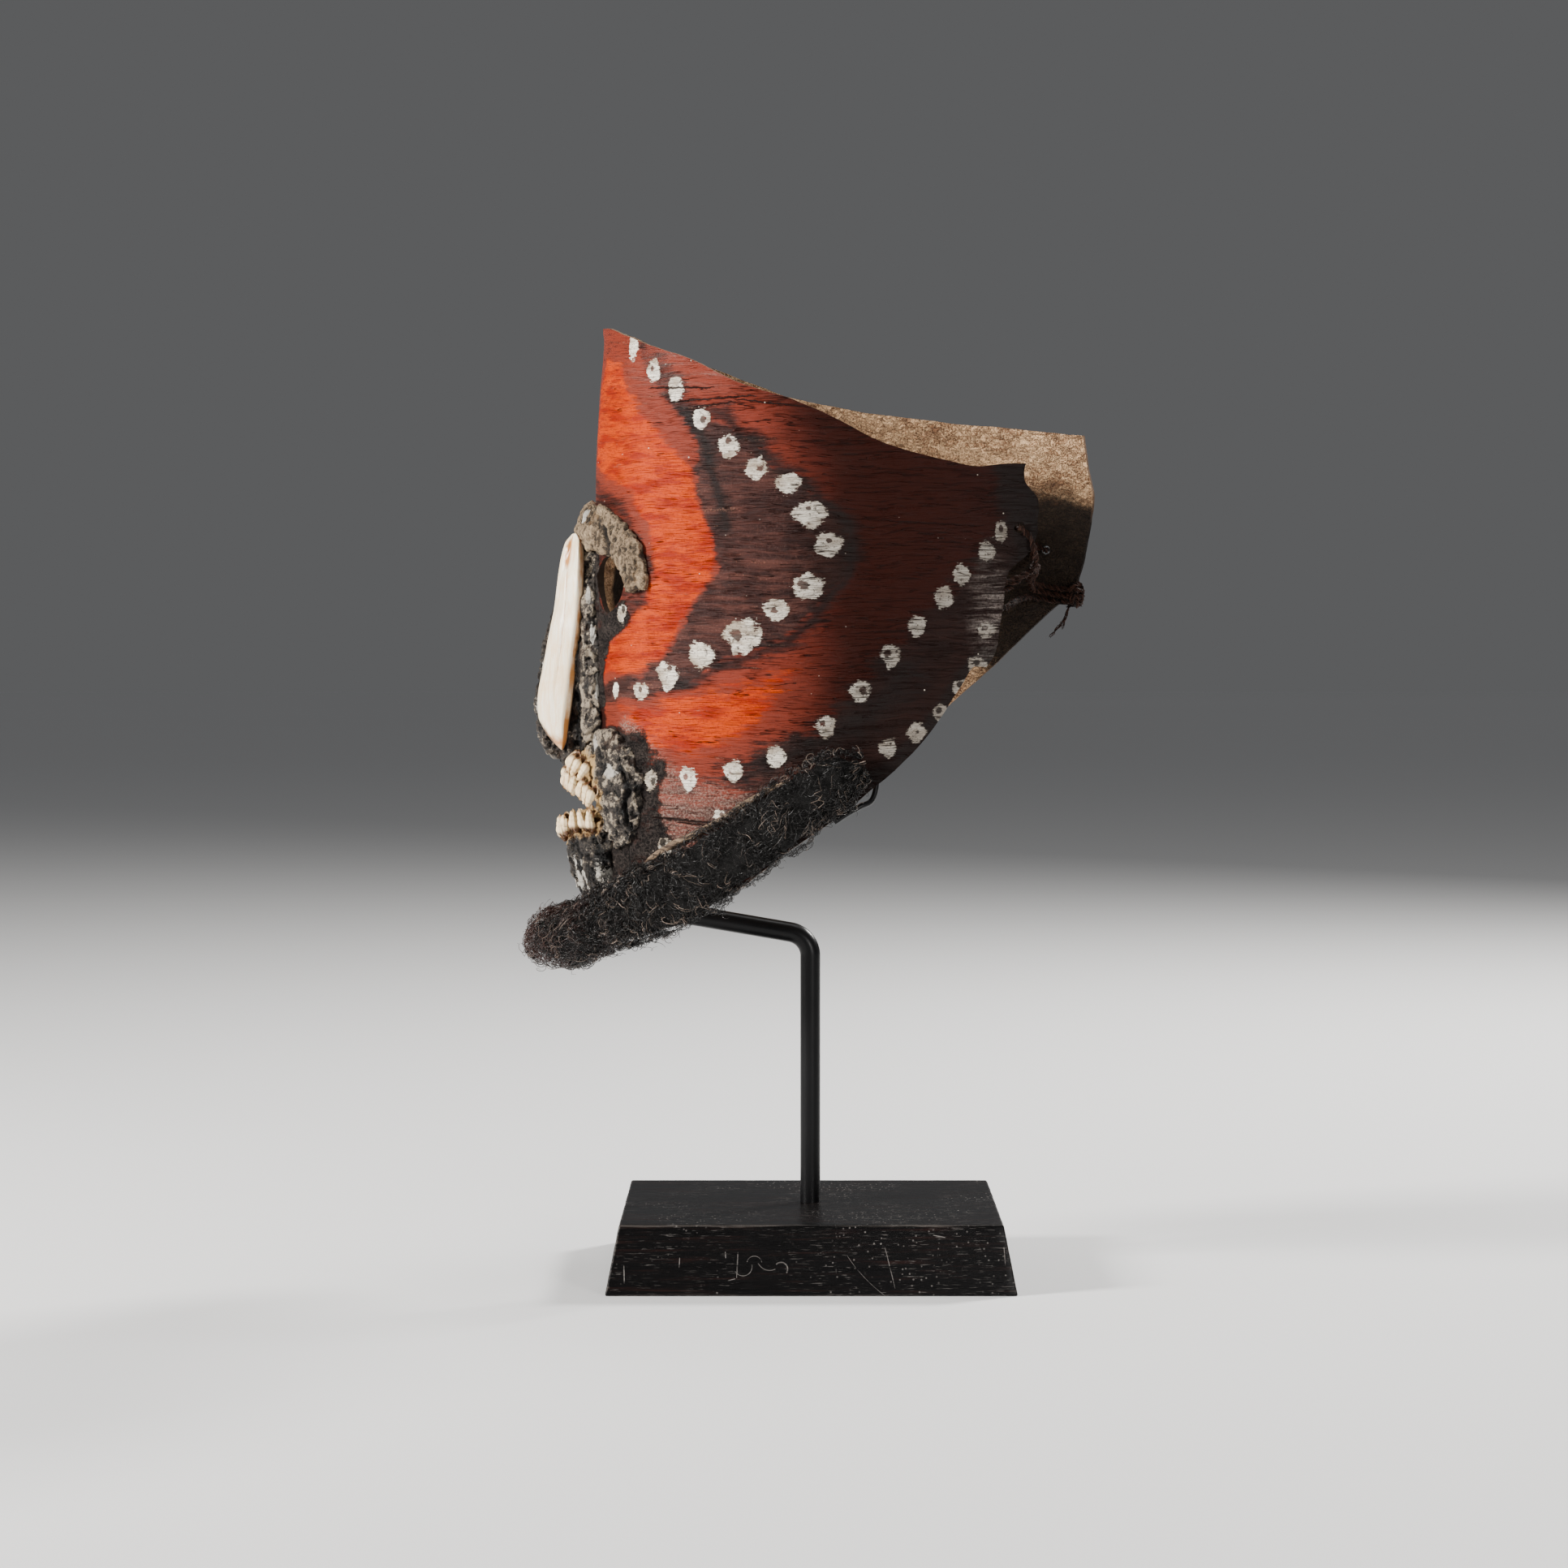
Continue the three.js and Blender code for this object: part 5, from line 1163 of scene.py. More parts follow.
TUSK_RINGS, TUSK_SIDES = 90, 64
for side, name in ((-1, "left"), (1, "right")):
    share = np.linspace(0, np.pi, TUSK_RINGS)
    z = TUSK_LOW + (TUSK_TOP - TUSK_LOW) * (0.5 - 0.5 * np.cos(share))
    thickness = TUSK_THICKNESS * np.minimum(1, 0.45 + 0.09 * np.minimum(z - TUSK_LOW, TUSK_TOP - z))
    outside = 0.5 - 0.5 * np.cos(np.linspace(0, np.pi, TUSK_SIDES * 3 // 4))
    inside = np.linspace(1, 0, TUSK_SIDES - len(outside) + 2)[1:-1]
    across = np.concatenate([outside, inside])[None]
    out = np.concatenate([tusk_bulge(outside), 0 * inside])[None]
    zz = z[:, None]
    groove = np.exp(-((across - groove_at(zz)) / 0.035) ** 2) * smoothstep(zz, 224, 240) * (out > 0)
    x = -tusk_front(zz) + (tusk_front(zz) - tusk_back(zz)) * across
    y = flank_width(x, np.minimum(zz, TUSK_SEAT_TOP)) + 0.45 + thickness[:, None] * out - 0.28 * groove
    local = np.stack([x, side * y, zz + 0 * x], axis=-1).reshape(-1, 3)
    full_out = np.broadcast_to(out, x.shape).reshape(-1)
    local[:, 1] += side * 0.25 * grid_noise(local * (1, 1, 0.3), 6.0, 91 + side) * full_out
    walls, caps = ring_faces(TUSK_RINGS, TUSK_SIDES)
    rings = local.reshape(TUSK_RINGS, TUSK_SIDES, 3)
    hubs = np.stack([rings[0].mean(axis=0) - (0, 0, 0.4), rings[-1].mean(axis=0) + (0, 0, 0.4)])
    local = np.vstack([local, hubs])
    faces = [walls, caps] if side > 0 else [walls[:, ::-1], caps[:, ::-1]]
    tusk = new_piece("boar_tusk_" + name, on_mask(local), faces, [ivory], ["tusk_" + name], crease=60)
    tusk_z = local[:, 2]
    share = np.append(np.broadcast_to(across, x.shape).reshape(-1), (0.5, 0.5))
    out_share = np.append(full_out, (0, 0))
    give(tusk, "place", local)
    top_stain = 0.9 * np.exp(-(((share - 0.34) / 0.20) ** 2) - ((tusk_z - 294) / 7) ** 2)
    groove_stain = np.exp(-((share - groove_at(tusk_z)) / 0.022) ** 2) * smoothstep(tusk_z, 226, 262) * 0.72
    bevel_stain = 0.55 * smoothstep(share, 0.84, 0.90) + 0.5 * smoothstep(-tusk_z, -232, -212)
    give(tusk, "stain", np.maximum.reduce([top_stain, groove_stain, bevel_stain]))
    # Darker at the lower end, and painted shade along the front edge and the inner face, where it lies
    # against the nose.
    low_grime = smoothstep(-tusk_z, -236, -214) * smoothstep(-share, -0.45, 0.0)
    edge_shade = 0.55 * smoothstep(-share, -0.10, 0.0) * (out_share < 0.8)
    give(tusk, "grime_and_shade", np.maximum.reduce([low_grime, edge_shade, 0.8 * (out_share < 0.15)]))


# Snail shells: small ribbed shells set side by side in the resin like teeth, one row on the edge of each lip
# and a second tier above the upper row. They are worn and darker where they touch; their mouths hold painted
# shade.

SHELL_HALF_LENGTH, SHELL_HALF_THICKNESS, SHELL_SPACING = 5.1, 2.5, 4.75
lip_top = through((0, 213), (12, 214), (22, 219), (34, 221.5), (44, 217), (53, 205))
lip_low = through((0, 200.5), (10, 199.5), (20, 196), (28, 192.5), (31, 184), (38, 175), (47, 178), (53, 188))
lip_height = through((0, 9.8), (10, 9), (20, 7.2), (28, 5.6), (34, 7), (44, 6.4), (53, 2.5))
chin_height = through((148, 8.5), (160, 12), (168, 14.2), (174, 14.8), (180, 13), (189, 11))
upper_tips = through((0, 198), (15, 196), (25, 192.8), (36, 189))
lower_tips = through((0, 184.5), (10, 187.5), (20, 190), (28, 190))


def pressed(a, b, seed):
    """The unevenness of the paste under the shells."""
    return (np.sin(0.37 * a + 1.9 * seed) * np.cos(0.29 * b - seed)
            + 0.6 * np.sin(0.83 * b + 0.41 * a + 2.7 * seed) + 0.4 * np.cos(1.31 * a - 0.77 * b + seed)) / 2


def upper_seat(s, z):
    along = abs(s)
    v = np.clip((z - lip_low(along)) / (lip_top(along) - lip_low(along)), 0, 1)
    shelf, cheek = 1 - 0.55 * smoothstep(v, 0.5, 1), 0.4 + 0.6 * np.sin(np.pi * v)
    height = lip_height(along) * (shelf + (cheek - shelf) * smoothstep(along, 26, 36))
    return 0.8 + height + 0.5 * pressed(s, z, 7)


def lower_seat(s, z):
    return 0.8 + chin_height(z) * (1 - 0.72 * smoothstep(abs(s), 3, 32)) + 0.7 * pressed(s, z, 11)


WHORL_OFF_AXIS, WHORL_HALF_WIDTH, WHORL_HALF_HEIGHT = 0.86, 1.62, 2.5


def snail(generator):
    """Points and faces of one shell along Z, apex up, and how deep in its mouth each point lies."""
    turns, per_turn, sides = 3.3, 27, 10
    stations = int(turns * per_turn)
    t = np.linspace(0, 1, stations)
    growth = 0.79 ** ((1 - t) * turns)
    angle = 2 * np.pi * turns * t
    ribs = 1 + 0.11 * np.cos(8 * angle) * smoothstep(t, 0.2, 0.6)
    width = generator.uniform(0.94, 1.02)
    from_axis = WHORL_OFF_AXIS * width * growth
    half_wide, half_tall = WHORL_HALF_WIDTH * width * growth * ribs, WHORL_HALF_HEIGHT * growth * ribs
    top = SHELL_HALF_LENGTH - half_tall[0]
    drop = top + SHELL_HALF_LENGTH - WHORL_HALF_HEIGHT
    level = top - drop * (growth - growth[0]) / (1 - growth[0])
    # The last rings turn back inside the body: the mouth, painted dark as shade
    for scale, back in ((0.84, 0), (0.74, 2), (0.58, 5), (0.40, 8)):
        beside = stations - 1 - back
        from_axis, level = np.append(from_axis, from_axis[beside]), np.append(level, level[beside])
        half_wide = np.append(half_wide, WHORL_HALF_WIDTH * width * scale)
        half_tall = np.append(half_tall, WHORL_HALF_HEIGHT * scale)
        angle = np.append(angle, angle[beside])
    depth = np.concatenate([np.zeros(stations), (0.25, 0.6, 1, 1)])
    round_it = 2 * np.pi * np.arange(sides) / sides
    reach = from_axis[:, None] + half_wide[:, None] * np.cos(round_it)
    points = np.stack([reach * np.cos(angle)[:, None], reach * np.sin(angle)[:, None],
                       level[:, None] + half_tall[:, None] * np.sin(round_it)], axis=-1)
    hubs = np.stack([points[0].mean(axis=0), points[-1].mean(axis=0)])
    walls, caps = ring_faces(len(points), sides)
    points = np.vstack([points.reshape(-1, 3), hubs])
    uneven = [grid_noise(points + generator.uniform(0, 99), 1.6, k, 2) for k in range(3)]
    points += 0.10 * np.stack(uneven, axis=1)
    depth = np.append(np.repeat(depth, sides), (0, 1))
    return points, walls[:, ::-1], caps[:, ::-1], depth


SHELL_CREAM, SHELL_TAN, SHELL_BROWN = (0.90, 0.73, 0.47), (0.80, 0.58, 0.31), (0.50, 0.27, 0.10)
SHELL_DIRT_AND_SHADE, SHELL_SHADE_AND_GRIME = (0.30, 0.13, 0.045), (0.115, 0.050, 0.018)

shell_lime, tree, shader = finish("snail_shell", Specular_IOR_Level=0.5, Subsurface_Weight=0.08,
                                  Subsurface_Scale=0.002)
place = attribute(tree, "place", "Vector")
wear = placed(tree, crust, {"Vector": place, "Raised": attribute(tree, "raised"), "Scale": 0.35})
bands = noise(tree, place, 0.22, 5.0, 0.65)
colour = blend(tree, step(tree, bands, 0.40, 0.62), SHELL_TAN, SHELL_BROWN)
colour = cover(tree, colour, SHELL_CREAM, wear["Film"], 0.72)
colour = cover(tree, colour, SHELL_DIRT_AND_SHADE, wear["Dirt_and_shade"], 0.7)
# Darker in the mouth, as painted shade, where the shell sits in the paste and near its axis.
bedded = step(tree, summed(tree, attribute(tree, "grime_and_shade"), (bands, 0.7)), 0.45, 0.96)
colour = blend(tree, bedded, colour, SHELL_SHADE_AND_GRIME)
dress(tree, shader, colour, wear["Height"], 0.5, 0.0003, summed(tree, 0.34, (wear["Dirt_and_shade"], 0.35)))

# Each seat: (name, s, z, how far off the sheet, lean in degrees, which way the tip points)
seats = []
for k in range(15):
    s = (k - 7) * SHELL_SPACING
    z = float(upper_tips(abs(s))) + SHELL_HALF_LENGTH
    seats.append(("upper_%d" % (k + 1), s, z, upper_seat(s, z), -12, -1))
for k in range(12):
    s = (k - 5.5) * SHELL_SPACING
    z = float(lower_tips(abs(s))) - SHELL_HALF_LENGTH
    seats.append(("lower_%d" % (k + 1), s, z, lower_seat(s, z), 10, 1))
for side, name in ((-1, "left"), (1, "right")):
    for k in range(4):
        s = side * (12.5 + k * SHELL_SPACING)
        z = float(upper_tips(abs(s))) + 2.6 * SHELL_HALF_LENGTH
        seats.append(("top_%s_%d" % (name, k + 1), s, z, upper_seat(s, z), -30, -1))

# Between the shells the resin is caked with ochre.
for paste, paste_s, paste_z in (laid_pastes["upper_lip"], laid_pastes["chin"]):
    nearest = np.full(len(paste_s), 9.0)
    for _, s, z, *_ in seats:
        nearest = np.minimum(nearest, np.hypot((paste_s - s) / 3.0, (paste_z - z) / 5.8))
    give(paste, "ochre", np.clip(1.7 - nearest, 0, 1))


def turned(first, second, angle):
    """Two coordinates turned about the third."""
    cos, sin = math.cos(angle), math.sin(angle)
    return first * cos - second * sin, first * sin + second * cos


random = np.random.default_rng(11)
for name, s, z, off, tilt, tip in seats:
    points, walls, caps, depth = snail(random)
    flipped = tip if random.random() < 0.75 else -tip
    roll = random.uniform(-0.5, 0.5) + (0 if flipped > 0 else math.pi)
    lean = math.radians(tilt + random.uniform(-7, 7))
    sway = math.radians(random.uniform(-8, 8))
    x, y, up = points.T
    x, y = turned(x, y, roll)
    if flipped < 0:
        y, up = -y, -up
    x, up = turned(x, up, sway)
    y, up = turned(y, up, lean)
    here = sheet_local(s, z, 0.6 + float(off) + SHELL_HALF_THICKNESS)
    out = here - sheet_local(s, z)
    out = out / np.linalg.norm(out)
    sideways = np.array([-out[1], out[0], 0])
    local = here + x[:, None] * sideways - y[:, None] * out + up[:, None] * np.array([0, 0, 1])
    radius = np.hypot(*points[:, :2].T)
    shell = new_piece("snail_" + name, on_mask(local), [walls, caps], [shell_lime],
                      ["shell_" + name], crease=70)
    give(shell, "place", local)
    give(shell, "raised", np.clip(radius / 2.1, 0, 1) * 2 - 1)
    seated = 0.95 * smoothstep(-tip * (local[:, 2] - z), 0.5, 5.5)
    give(shell, "grime_and_shade", np.maximum.reduce([depth, seated, 0.3 * smoothstep(-radius, -1.2, -0.5)]))


# Cane strips: on either cheek a strip of split cane with the bark still on, laid along the upper side of the
# beard and pressed against the sheet.

STRIP_HALF_WIDTH, STRIP_COLUMNS, STRIP_ROWS = 1.55, 150, 14
STRIP_START, STRIP_LENGTH = 50, 68

cane, tree, shader = finish("split_cane", Roughness=0.75, Specular_IOR_Level=0.3)
place = attribute(tree, "place", "Vector")
strands = placed(tree, fibres, {"Vector": place, "Stretch": (0.06, 1.1, 1.0), "Scale": 1.0, "Waver": 3.0})
skin = placed(tree, crust, {"Vector": place, "Raised": 0.0, "Scale": 0.12})
colour = blend(tree, step(tree, strands["Streaks"], 0.36, 0.66), (0.045, 0.026, 0.016), (0.24, 0.165, 0.105))
colour = cover(tree, colour, (0.22, 0.19, 0.17), skin["Dust"], 0.4)
colour = cover(tree, colour, (0.02, 0.012, 0.008), strands["Pores"], 0.8)
dress(tree, shader, colour, strands["Height"], 0.9, 0.0006)


def slab_faces(columns, rows):
    """Quads of a closed slab: a grid of front points, then the same grid of back points."""
    layer = (columns + 1) * (rows + 1)
    i, j = (grid.ravel() for grid in np.meshgrid(np.arange(columns), np.arange(rows), indexing="ij"))
    a = i * (rows + 1) + j
    front = np.stack([a, a + rows + 1, a + rows + 2, a + 1], axis=1)
    i, j = np.arange(columns), np.arange(rows)
    low, high = i * (rows + 1), i * (rows + 1) + rows
    start, end = j, columns * (rows + 1) + j
    return np.vstack([
        front, front[:, ::-1] + layer,
        np.stack([low + rows + 1, low, low + layer, low + rows + 1 + layer], axis=1),
        np.stack([high, high + rows + 1, high + rows + 1 + layer, high + layer], axis=1),
        np.stack([start, start + 1, start + 1 + layer, start + layer], axis=1),
        np.stack([end + 1, end, end + layer, end + 1 + layer], axis=1),
    ])


for side, name in ((-1, "left"), (1, "right")):
    along, over = (grid.ravel() for grid in np.meshgrid(np.linspace(0, 1, STRIP_COLUMNS + 1),
                                                        np.linspace(-1, 1, STRIP_ROWS + 1), indexing="ij"))
    flat = 0 * along
    middle = 167 + 34.5 * along + (10 * along if side > 0 else 0) + 0.8 * np.sin(9 * along)
    torn = np.stack([along * STRIP_LENGTH, flat + 50 * side, flat], axis=1)
    half = STRIP_HALF_WIDTH * (1 + 0.28 * grid_noise(torn, 7.0, 101)) * (1 - 0.6 * np.abs(2 * along - 1) ** 9)
    split = 1.8 * grid_noise(np.stack([over * 6, flat + side * 9, flat], axis=1), 1.4, 102)
    s = STRIP_START + STRIP_LENGTH * along + split * (2 * along - 1) * np.abs(2 * along - 1) ** 6
    ribs = grid_noise(np.stack([s * 0.18, over * 4, flat + side * 7], axis=1), 1.3, 103)
    crown = 0.55 + 1.0 * np.sqrt(np.maximum(0, 1 - over ** 2))
    height = crown + 0.38 * ribs + 0.3 * grid_noise(torn, 12, 104)
    z = middle + over * half
    points = np.vstack([sheet_local(side * s, z, height), sheet_local(side * s, z, -0.35)])
    faces = slab_faces(STRIP_COLUMNS, STRIP_ROWS)
    faces = [faces if side > 0 else faces[:, ::-1]]
    strip = new_piece("cane_" + name, on_mask(points), faces, [cane], ["cane_strip_" + name])
    give(strip, "place", np.tile(np.stack([s, z, flat], axis=1), (2, 1)))


# Beard: a roll of matted dark hair bound along the whole lower edge. It is a felted core under thousands of
# tight curls that catch in each other, with stray hairs hanging out.

beard_z = through((0, 136), (14, 137), (32, 145), (53, 151.5), (73, 158.5), (93, 171), (110, 182), (126, 194),
                  (140, 204), (151, 209))
beard_off = through((0, 18.5), (14, 16.5), (32, 9.5), (53, 7.2), (110, 7), (140, 6.2), (151, 5))
beard_thick = through((0, 17), (14, 15.5), (32, 9), (53, 7.8), (110, 7.4), (140, 6), (151, 2.5))
beard_high = through((0, 11.5), (14, 12.5), (32, 13), (53, 14), (73, 14.5), (110, 13.5), (140, 11.5),
                     (151, 4))
BEARD_END = 151


def beard_middle(s):
    rise = np.where(s > 0, right_low(np.abs(s)) - left_low(np.abs(s)), 0)
    return sheet_local(s, beard_z(np.abs(s)) + rise, beard_off(np.abs(s)))


def beard_frame(s):
    """Middle of the roll at s, and the directions along it, out of it and up."""
    s = np.clip(s, -BEARD_END, BEARD_END)
    middle = beard_middle(s)
    along = beard_middle(s + 1) - beard_middle(s - 1)
    along /= np.linalg.norm(along, axis=-1, keepdims=True)
    heading = np.radians(heading_at(np.abs(s)))
    out = np.stack([-np.cos(heading), np.where(s < 0, -1, 1) * np.sin(heading), 0 * s], axis=-1)
    out -= along * np.sum(out * along, axis=-1, keepdims=True)
    out /= np.linalg.norm(out, axis=-1, keepdims=True)
    return middle, along, out, np.cross(out, along)


def on_roll(s, turn, lift):
    """A point on the roll: turn goes round it, 0 straight out and a quarter turn up; lift is off its skin."""
    middle, along, out, up = beard_frame(s)
    s = np.abs(np.clip(s, -BEARD_END, BEARD_END))
    uneven = 1 + 0.14 * pressed(s * 0.9, turn * 3.15, 13)
    thick, high = beard_thick(s) * uneven + lift, beard_high(s) * uneven + lift
    return middle + out * (thick * np.cos(turn))[..., None] + up * (high * np.sin(turn))[..., None]


BLACK_HAIR, PALE_HAIR_AND_GLINT, RUSTY_HAIR = (0.0026, 0.0018, 0.0016), (0.22, 0.165, 0.130), (0.036, 0.010, 0.0060)
HAIR_LINT, FELT_BLACK, FELT_DUST = (0.12, 0.105, 0.095), (0.0022, 0.0017, 0.0015), (0.0085, 0.0060, 0.0052)

hair, tree, shader = finish("curly_hair", Specular_IOR_Level=0.40)
spot = node(tree, "TexCoord").outputs["Object"]
lint = noise(tree, spot, 900.0, 3.0)
# Some hairs are pale: grey hairs, and painted glints of light.
colour = blend(tree, step(tree, attribute(tree, "tone"), 0.74, 1.0), BLACK_HAIR, PALE_HAIR_AND_GLINT)
colour = blend(tree, step(tree, attribute(tree, "rust"), 0.45, 1.0), colour, RUSTY_HAIR)
colour = cover(tree, colour, HAIR_LINT, step(tree, lint, 0.60, 0.72), 0.25)
dress(tree, shader, colour, lint, 0.3, 0.0001, summed(tree, 0.20, (lint, 0.24)))

felt, tree, shader = finish("felted_hair", Roughness=0.85, Specular_IOR_Level=0.25)
place = attribute(tree, "place", "Vector")
mat = placed(tree, crust, {"Vector": place, "Raised": attribute(tree, "raised"), "Scale": 0.30})
dress(tree, shader, blend(tree, mat["Dust"], FELT_BLACK, FELT_DUST), mat["Height"], 1.0, 0.0010)

points, faces = evenly_meshed("beard", 1.5, 4)
s, z, off = laid_flat(points)
raised = 1.3 * grid_noise(points, 6.0, 111, 2) + 0.7 * grid_noise(points, 2.4, 112, 1) - 1.5
points = points + point_normals(points, faces) * (raised * smoothstep(off, 0.4, 2.0))[:, None]
core = new_piece("beard_felt", on_mask(points), [faces], [felt], ["beard"])
give(core, "place", points)
give(core, "raised", raised)


def hairs(lines, radius):
    """Closed three-sided hairs along many lines of as many stations; radius for each line and station."""
    count, stations = lines.shape[:2]
    ahead = np.gradient(lines, axis=1)
    ahead /= np.maximum(np.linalg.norm(ahead, axis=2, keepdims=True), 1e-9)
    side = np.cross(ahead[:, 0], (0.31, 0.17, 0.93))
    side /= np.linalg.norm(side, axis=1, keepdims=True)
    rings = []
    for k in range(stations):
        side = side - ahead[:, k] * np.sum(side * ahead[:, k], axis=1, keepdims=True)
        side /= np.maximum(np.linalg.norm(side, axis=1, keepdims=True), 1e-9)
        over = np.cross(ahead[:, k], side)
        corners = [math.cos(turn) * side + math.sin(turn) * over
                   for turn in (0, 2 * math.pi / 3, 4 * math.pi / 3)]
        rings.append(lines[:, k, None] + radius[:, k, None, None] * np.stack(corners, axis=1))
    points = np.stack(rings, axis=1).reshape(-1, 3)
    k, j = (grid.ravel() for grid in np.meshgrid(np.arange(stations - 1), np.arange(3), indexing="ij"))
    a, b = k * 3 + j, k * 3 + (j + 1) % 3
    walls = np.stack([a, b, b + 3, a + 3], axis=1)
    last = (stations - 1) * 3
    ends = np.array([[2, 1, 0], [last, last + 1, last + 2]])
    base = np.arange(count)[:, None, None] * stations * 3
    return points, (walls + base).reshape(-1, 4), (ends + base).reshape(-1, 3)


# The curls come in locks that share where they start, which way they drift and how they turn.
CURL_STATIONS = 15
random = np.random.default_rng(23)
for name, start, end, count in (("left", -BEARD_END, -55, 1500), ("front_left", -62, 4, 1500),
                                ("front_right", -4, 62, 1100), ("right", 55, BEARD_END, 1100)):
    locks = count // 9
    lock = random.integers(0, locks, count)
    lock_values = random.uniform(0, 1, (locks, 6))
    lock_values[:, 0] = (np.arange(locks) + lock_values[:, 0]) / locks
    lock_values[:, 1] = (np.arange(locks) * 0.618 + 0.12 * lock_values[:, 1]) % 1
    lock_values = lock_values[lock]
    root = start + (end - start) * lock_values[:, 0] + random.normal(0, 2.2, count)
    turn = -2.0 + 3.75 * lock_values[:, 1] + random.normal(0, 0.22, count)
    drift = (lock_values[:, 2:4] - 0.5) * (15, 1.3) + random.normal(0, 1, (count, 2)) * (2.0, 0.10)
    t = np.linspace(0, 1, CURL_STATIONS)[None]
    s = root[:, None] + drift[:, :1] * t + 0 * t
    s = np.clip(s, -BEARD_END + 1, BEARD_END - 1)
    around = turn[:, None] + drift[:, 1:] * t
    astray = (random.uniform(0, 1, (count, 1)) > 0.93) * random.uniform(1.5, 6.0, (count, 1))
    height = 0.9 * lock_values[:, 4:5] + random.uniform(0, 1.7, (count, 1))
    lift = -1.0 + height * np.sin(np.pi * (0.12 + 0.8 * t)) + astray * t ** 1.5
    middle, along, out, up = beard_frame(s)
    outwards = out * np.cos(around)[..., None] + up * np.sin(around)[..., None]
    line = on_roll(s, around, lift)
    across = np.cross(outwards, along)
    curl = random.uniform(0.7, 1.9, (count, 1)) * (0.5 + 0.5 * np.sin(np.pi * t) ** 0.5)
    phase = 2 * np.pi * lock_values[:, 5:6] + random.normal(0, 0.9, (count, 1))
    phase = phase + 2 * np.pi * random.uniform(1.0, 2.6, (count, 1)) * t
    slant = random.uniform(0, np.pi, (count, 1, 1))
    first = along * np.cos(slant) + across * np.sin(slant)
    line = line + first * (curl * np.cos(phase))[..., None]
    line = line + outwards * (0.55 * curl * np.sin(phase))[..., None]
    thinning = np.clip(np.sin(np.pi * (0.04 + 0.92 * t)), 0.25, 1) ** 0.5
    radius = random.uniform(0.09, 0.16, (count, 1)) * thinning
    points, walls, caps = hairs(line, radius)
    curls = new_piece("curls_" + name, on_mask(points), [walls, caps], [hair], crease=180)
    tone = random.uniform(0, 1, (count, 1)) ** 2.2 + 0 * t
    give(curls, "tone", np.repeat(tone.reshape(-1), 3))
    rust = 0.5 + 0.5 * grid_noise(line.reshape(-1, 3), 16.0, 121)
    rust = rust * smoothstep(-np.abs(s), -90, -10).reshape(-1)
    rust = rust + 0.3 * random.uniform(0, 1, (count, 1, 1)).repeat(CURL_STATIONS, axis=1).reshape(-1)
    give(curls, "rust", np.repeat(rust, 3))


# Clips: two black wires, one inside each cheek. Each starts beside the rod's upturned tip, turns up round the
# sheet's lower edge and lies forwards along its outside.

def smooth_line(points, spacing):
    """Even stations along a smooth line through a few points, however unevenly these are spaced."""
    points = np.asarray(points, float)
    ghosts = np.vstack([2 * points[0] - points[1], points, 2 * points[-1] - points[-2]])
    runs = []
    for a, b, c, d in zip(ghosts, ghosts[1:], ghosts[2:], ghosts[3:]):
        k1 = np.sqrt(np.linalg.norm(b - a))
        k2 = k1 + np.sqrt(np.linalg.norm(c - b))
        k3 = k2 + np.sqrt(np.linalg.norm(d - c))
        t = np.linspace(k1, k2, 24, endpoint=False)[:, None]
        ab, bc = a + (b - a) * t / k1, b + (c - b) * (t - k1) / (k2 - k1)
        cd = c + (d - c) * (t - k2) / (k3 - k2)
        abc, bcd = ab + (bc - ab) * t / k2, bc + (cd - bc) * (t - k1) / (k3 - k1)
        runs.append(abc + (bcd - abc) * (t - k1) / (k2 - k1))
    line = np.vstack([*runs, points[-1:]])
    length = np.concatenate([[0], np.cumsum(np.linalg.norm(np.diff(line, axis=0), axis=1))])
    stations = np.linspace(0, length[-1], max(2, int(round(length[-1] / spacing))) + 1)
    return np.stack([np.interp(stations, length, axis) for axis in line.T], axis=1)


WIRE_RADIUS = 1.1
for side, name in ((-1, "left"), (1, "right")):
    low = left_low if side < 0 else right_low
    inside, outside, drop = -SHEET_THICKNESS - WIRE_RADIUS - 0.8, WIRE_RADIUS + 0.6, WIRE_RADIUS + 3
    knots = [(26, 176 - low(26), -18), (60, 184 - low(60), -8), (100, 20, inside - 3), (135, 17, inside - 1),
             (151, 12, inside), (154, 3, inside), (152.5, -drop, -SHEET_THICKNESS / 2 - 0.6),
             (148, -drop + 1.2, outside - 0.5), (143.5, -1.8, outside + 0.4), (138, -1.2, outside)]
    route = [sheet_local(side * s, low(s) + lift, off) for s, lift, off in knots]
    points, walls, caps = tube(on_mask(smooth_line(route, 0.9)), WIRE_RADIUS * 0.001, 12)
    new_piece("wire_clip_" + name, points, [walls, caps], [black_paint], ["clip_" + name])


# Back lashing: dark plant fibre, twisted loosely into cords of two plies. They are drawn between the two ends
# of the sheet, cross in mid air and are wound round the far edge; fibres have sprung out of them.

CORD_RADIUS, CORD_STRANDS, LOOSE_RADIUS, LOOSE_STRANDS = 1.4, 15, 0.8, 6
PLY_PITCH, TWIST_PITCH, CORD_STATION = 11, 7, 1.25
PLIES_APART, STRANDS_APART = 0.44, 0.46
DARK_FIBRE_SHADED, BROWN_FIBRE_SHADED, FIBRE_FUZZ = (0.0035, 0.0018, 0.0014), (0.030, 0.0125, 0.0080), (0.012, 0.006, 0.004)

cord_finish, tree, shader = finish("fibre_cord", Roughness=0.8, Specular_IOR_Level=0.12)
fuzz = noise(tree, node(tree, "TexCoord").outputs["Object"], 1400.0, 3.0)
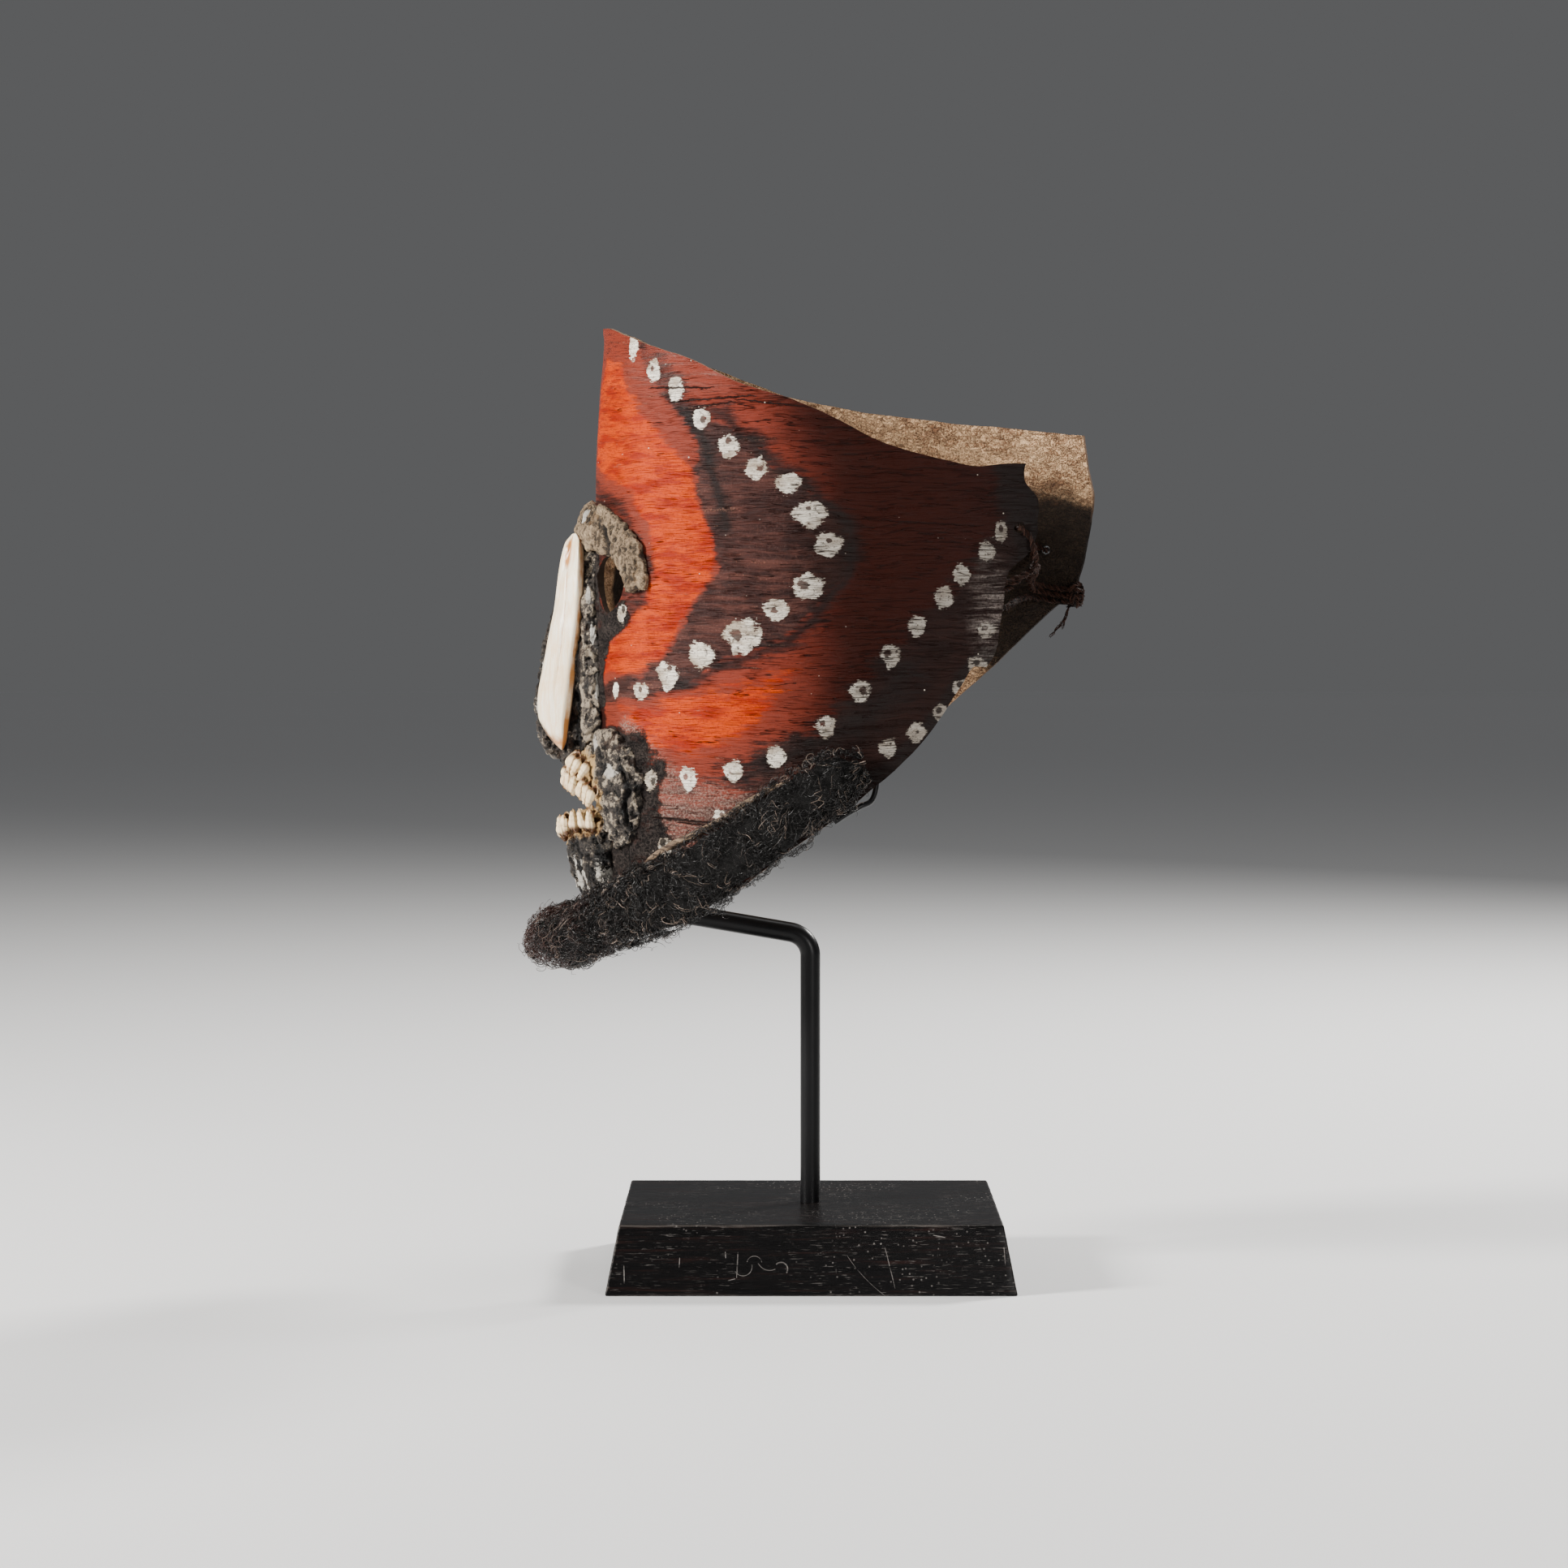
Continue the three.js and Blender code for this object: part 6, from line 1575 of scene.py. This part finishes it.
# The fibre's black-brown is painted darker still, as the shade the lashing lies in.
colour = blend(tree, step(tree, attribute(tree, "tone"), 0.2, 1.0), DARK_FIBRE_SHADED, BROWN_FIBRE_SHADED)
colour = blend(tree, step(tree, fuzz, 0.56, 0.72), colour, FIBRE_FUZZ)
dress(tree, shader, colour, fuzz, 0.7, 0.0002)

inside, outside = -SHEET_THICKNESS - CORD_RADIUS - 0.8, CORD_RADIUS + 0.8
crossing = np.array([182.0, -29.0, 286.0])


def through_hole(s, z, towards_end):
    return [sheet_local(s - 4 * towards_end, z + 2, inside - 0.3), sheet_local(s, z, inside + 0.9),
            sheet_local(s, z, outside - 0.9), sheet_local(s + 3 * towards_end, z - 3, outside)]


def stitch(z):
    return [sheet_local(-194, z - 1, inside), sheet_local(-201, z, inside - 0.6),
            sheet_local(-207, z + 1, inside - 5)]


def winding(z):
    end = float(right_end(z))
    return [sheet_local(end - 14, z + 2, inside - 3), sheet_local(end - 3, z + 0.5, inside - 0.4),
            sheet_local(end + 1.2, z, inside), sheet_local(end + 3.4, z - 0.4, -SHEET_THICKNESS / 2),
            sheet_local(end + 1.2, z - 0.8, outside), sheet_local(end - 4, z - 1, outside)]


def together(solids):
    """Several (points, quads, triangles) as one."""
    points, quads, triangles, base = [], [], [], 0
    for part, walls, caps in solids:
        points.append(part)
        quads.append(walls + base)
        triangles.append(caps + base)
        base += len(part)
    return np.vstack(points), np.vstack(quads), np.vstack(triangles)


cords = [
    [*through_hole(*LEFT_TIE, -1), sheet_local(-217, 292, outside), crossing, *winding(279.2)],
    [*through_hole(*RIGHT_TIE, 1)[::-1][1:], sheet_local(212, 292.5, inside - 3), crossing,
     *stitch(280)[::-1]],
    [*stitch(276.6), crossing, *winding(276.6)],
    [*stitch(270), *winding(274)],
    [sheet_local(float(right_end(277)) + 1.2 + 0.12 * t, 277.4 + 4.4 * math.sin(t), -1.1 + 3.7 * math.cos(t))
     for t in np.linspace(0, 12, 20)],
]
loose = [[sheet_local(224, 273.5, outside), sheet_local(222, 268, outside), sheet_local(s, z, outside + off)]
         for s, z, off in ((214, 259.5, 1), (219, 263, 2.4))]
random = np.random.default_rng(31)
strands, tones = [], []
for k, route in enumerate([*cords, *loose]):
    size, number = (CORD_RADIUS, CORD_STRANDS) if k < len(cords) else (LOOSE_RADIUS, LOOSE_STRANDS)
    middle = smooth_line(route, CORD_STATION)
    side, up = frames_along(middle)
    run = np.arange(len(middle)) * CORD_STATION
    for j in range(number):
        ply = 2 * np.pi * (run / PLY_PITCH + 0.5 * (j % 2))
        turn = ply + 2 * np.pi * (j * 0.382 + run / TWIST_PITCH) + random.uniform(-0.3, 0.3)
        loose_by = 1 + 0.5 * np.clip(np.sin(run / random.uniform(3, 8) + random.uniform(0, 6)), -0.3, 1)
        away = size * STRANDS_APART * math.sqrt((j + 0.5) / number) * loose_by
        strand = (middle + side * (PLIES_APART * size * np.cos(ply) + away * np.cos(turn))[:, None]
                  + up * (PLIES_APART * size * np.sin(ply) + away * np.sin(turn))[:, None])
        thick = size * random.uniform(0.13, 0.22) * (1 + 0.2 * np.sin(run * 0.6 + random.uniform(0, 6)))
        thick[-3:] *= (0.8, 0.6, 0.35)
        strands.append(tube(strand, thick, 4))
        tones.append(np.full(len(strands[-1][0]), random.uniform(0, 1)))
points, walls, caps = together(strands)
lashing = new_piece("fibre_lashing", on_mask(points), [walls, caps], [cord_finish],
                    ["back_lashing"], crease=60)
give(lashing, "tone", np.concatenate(tones))
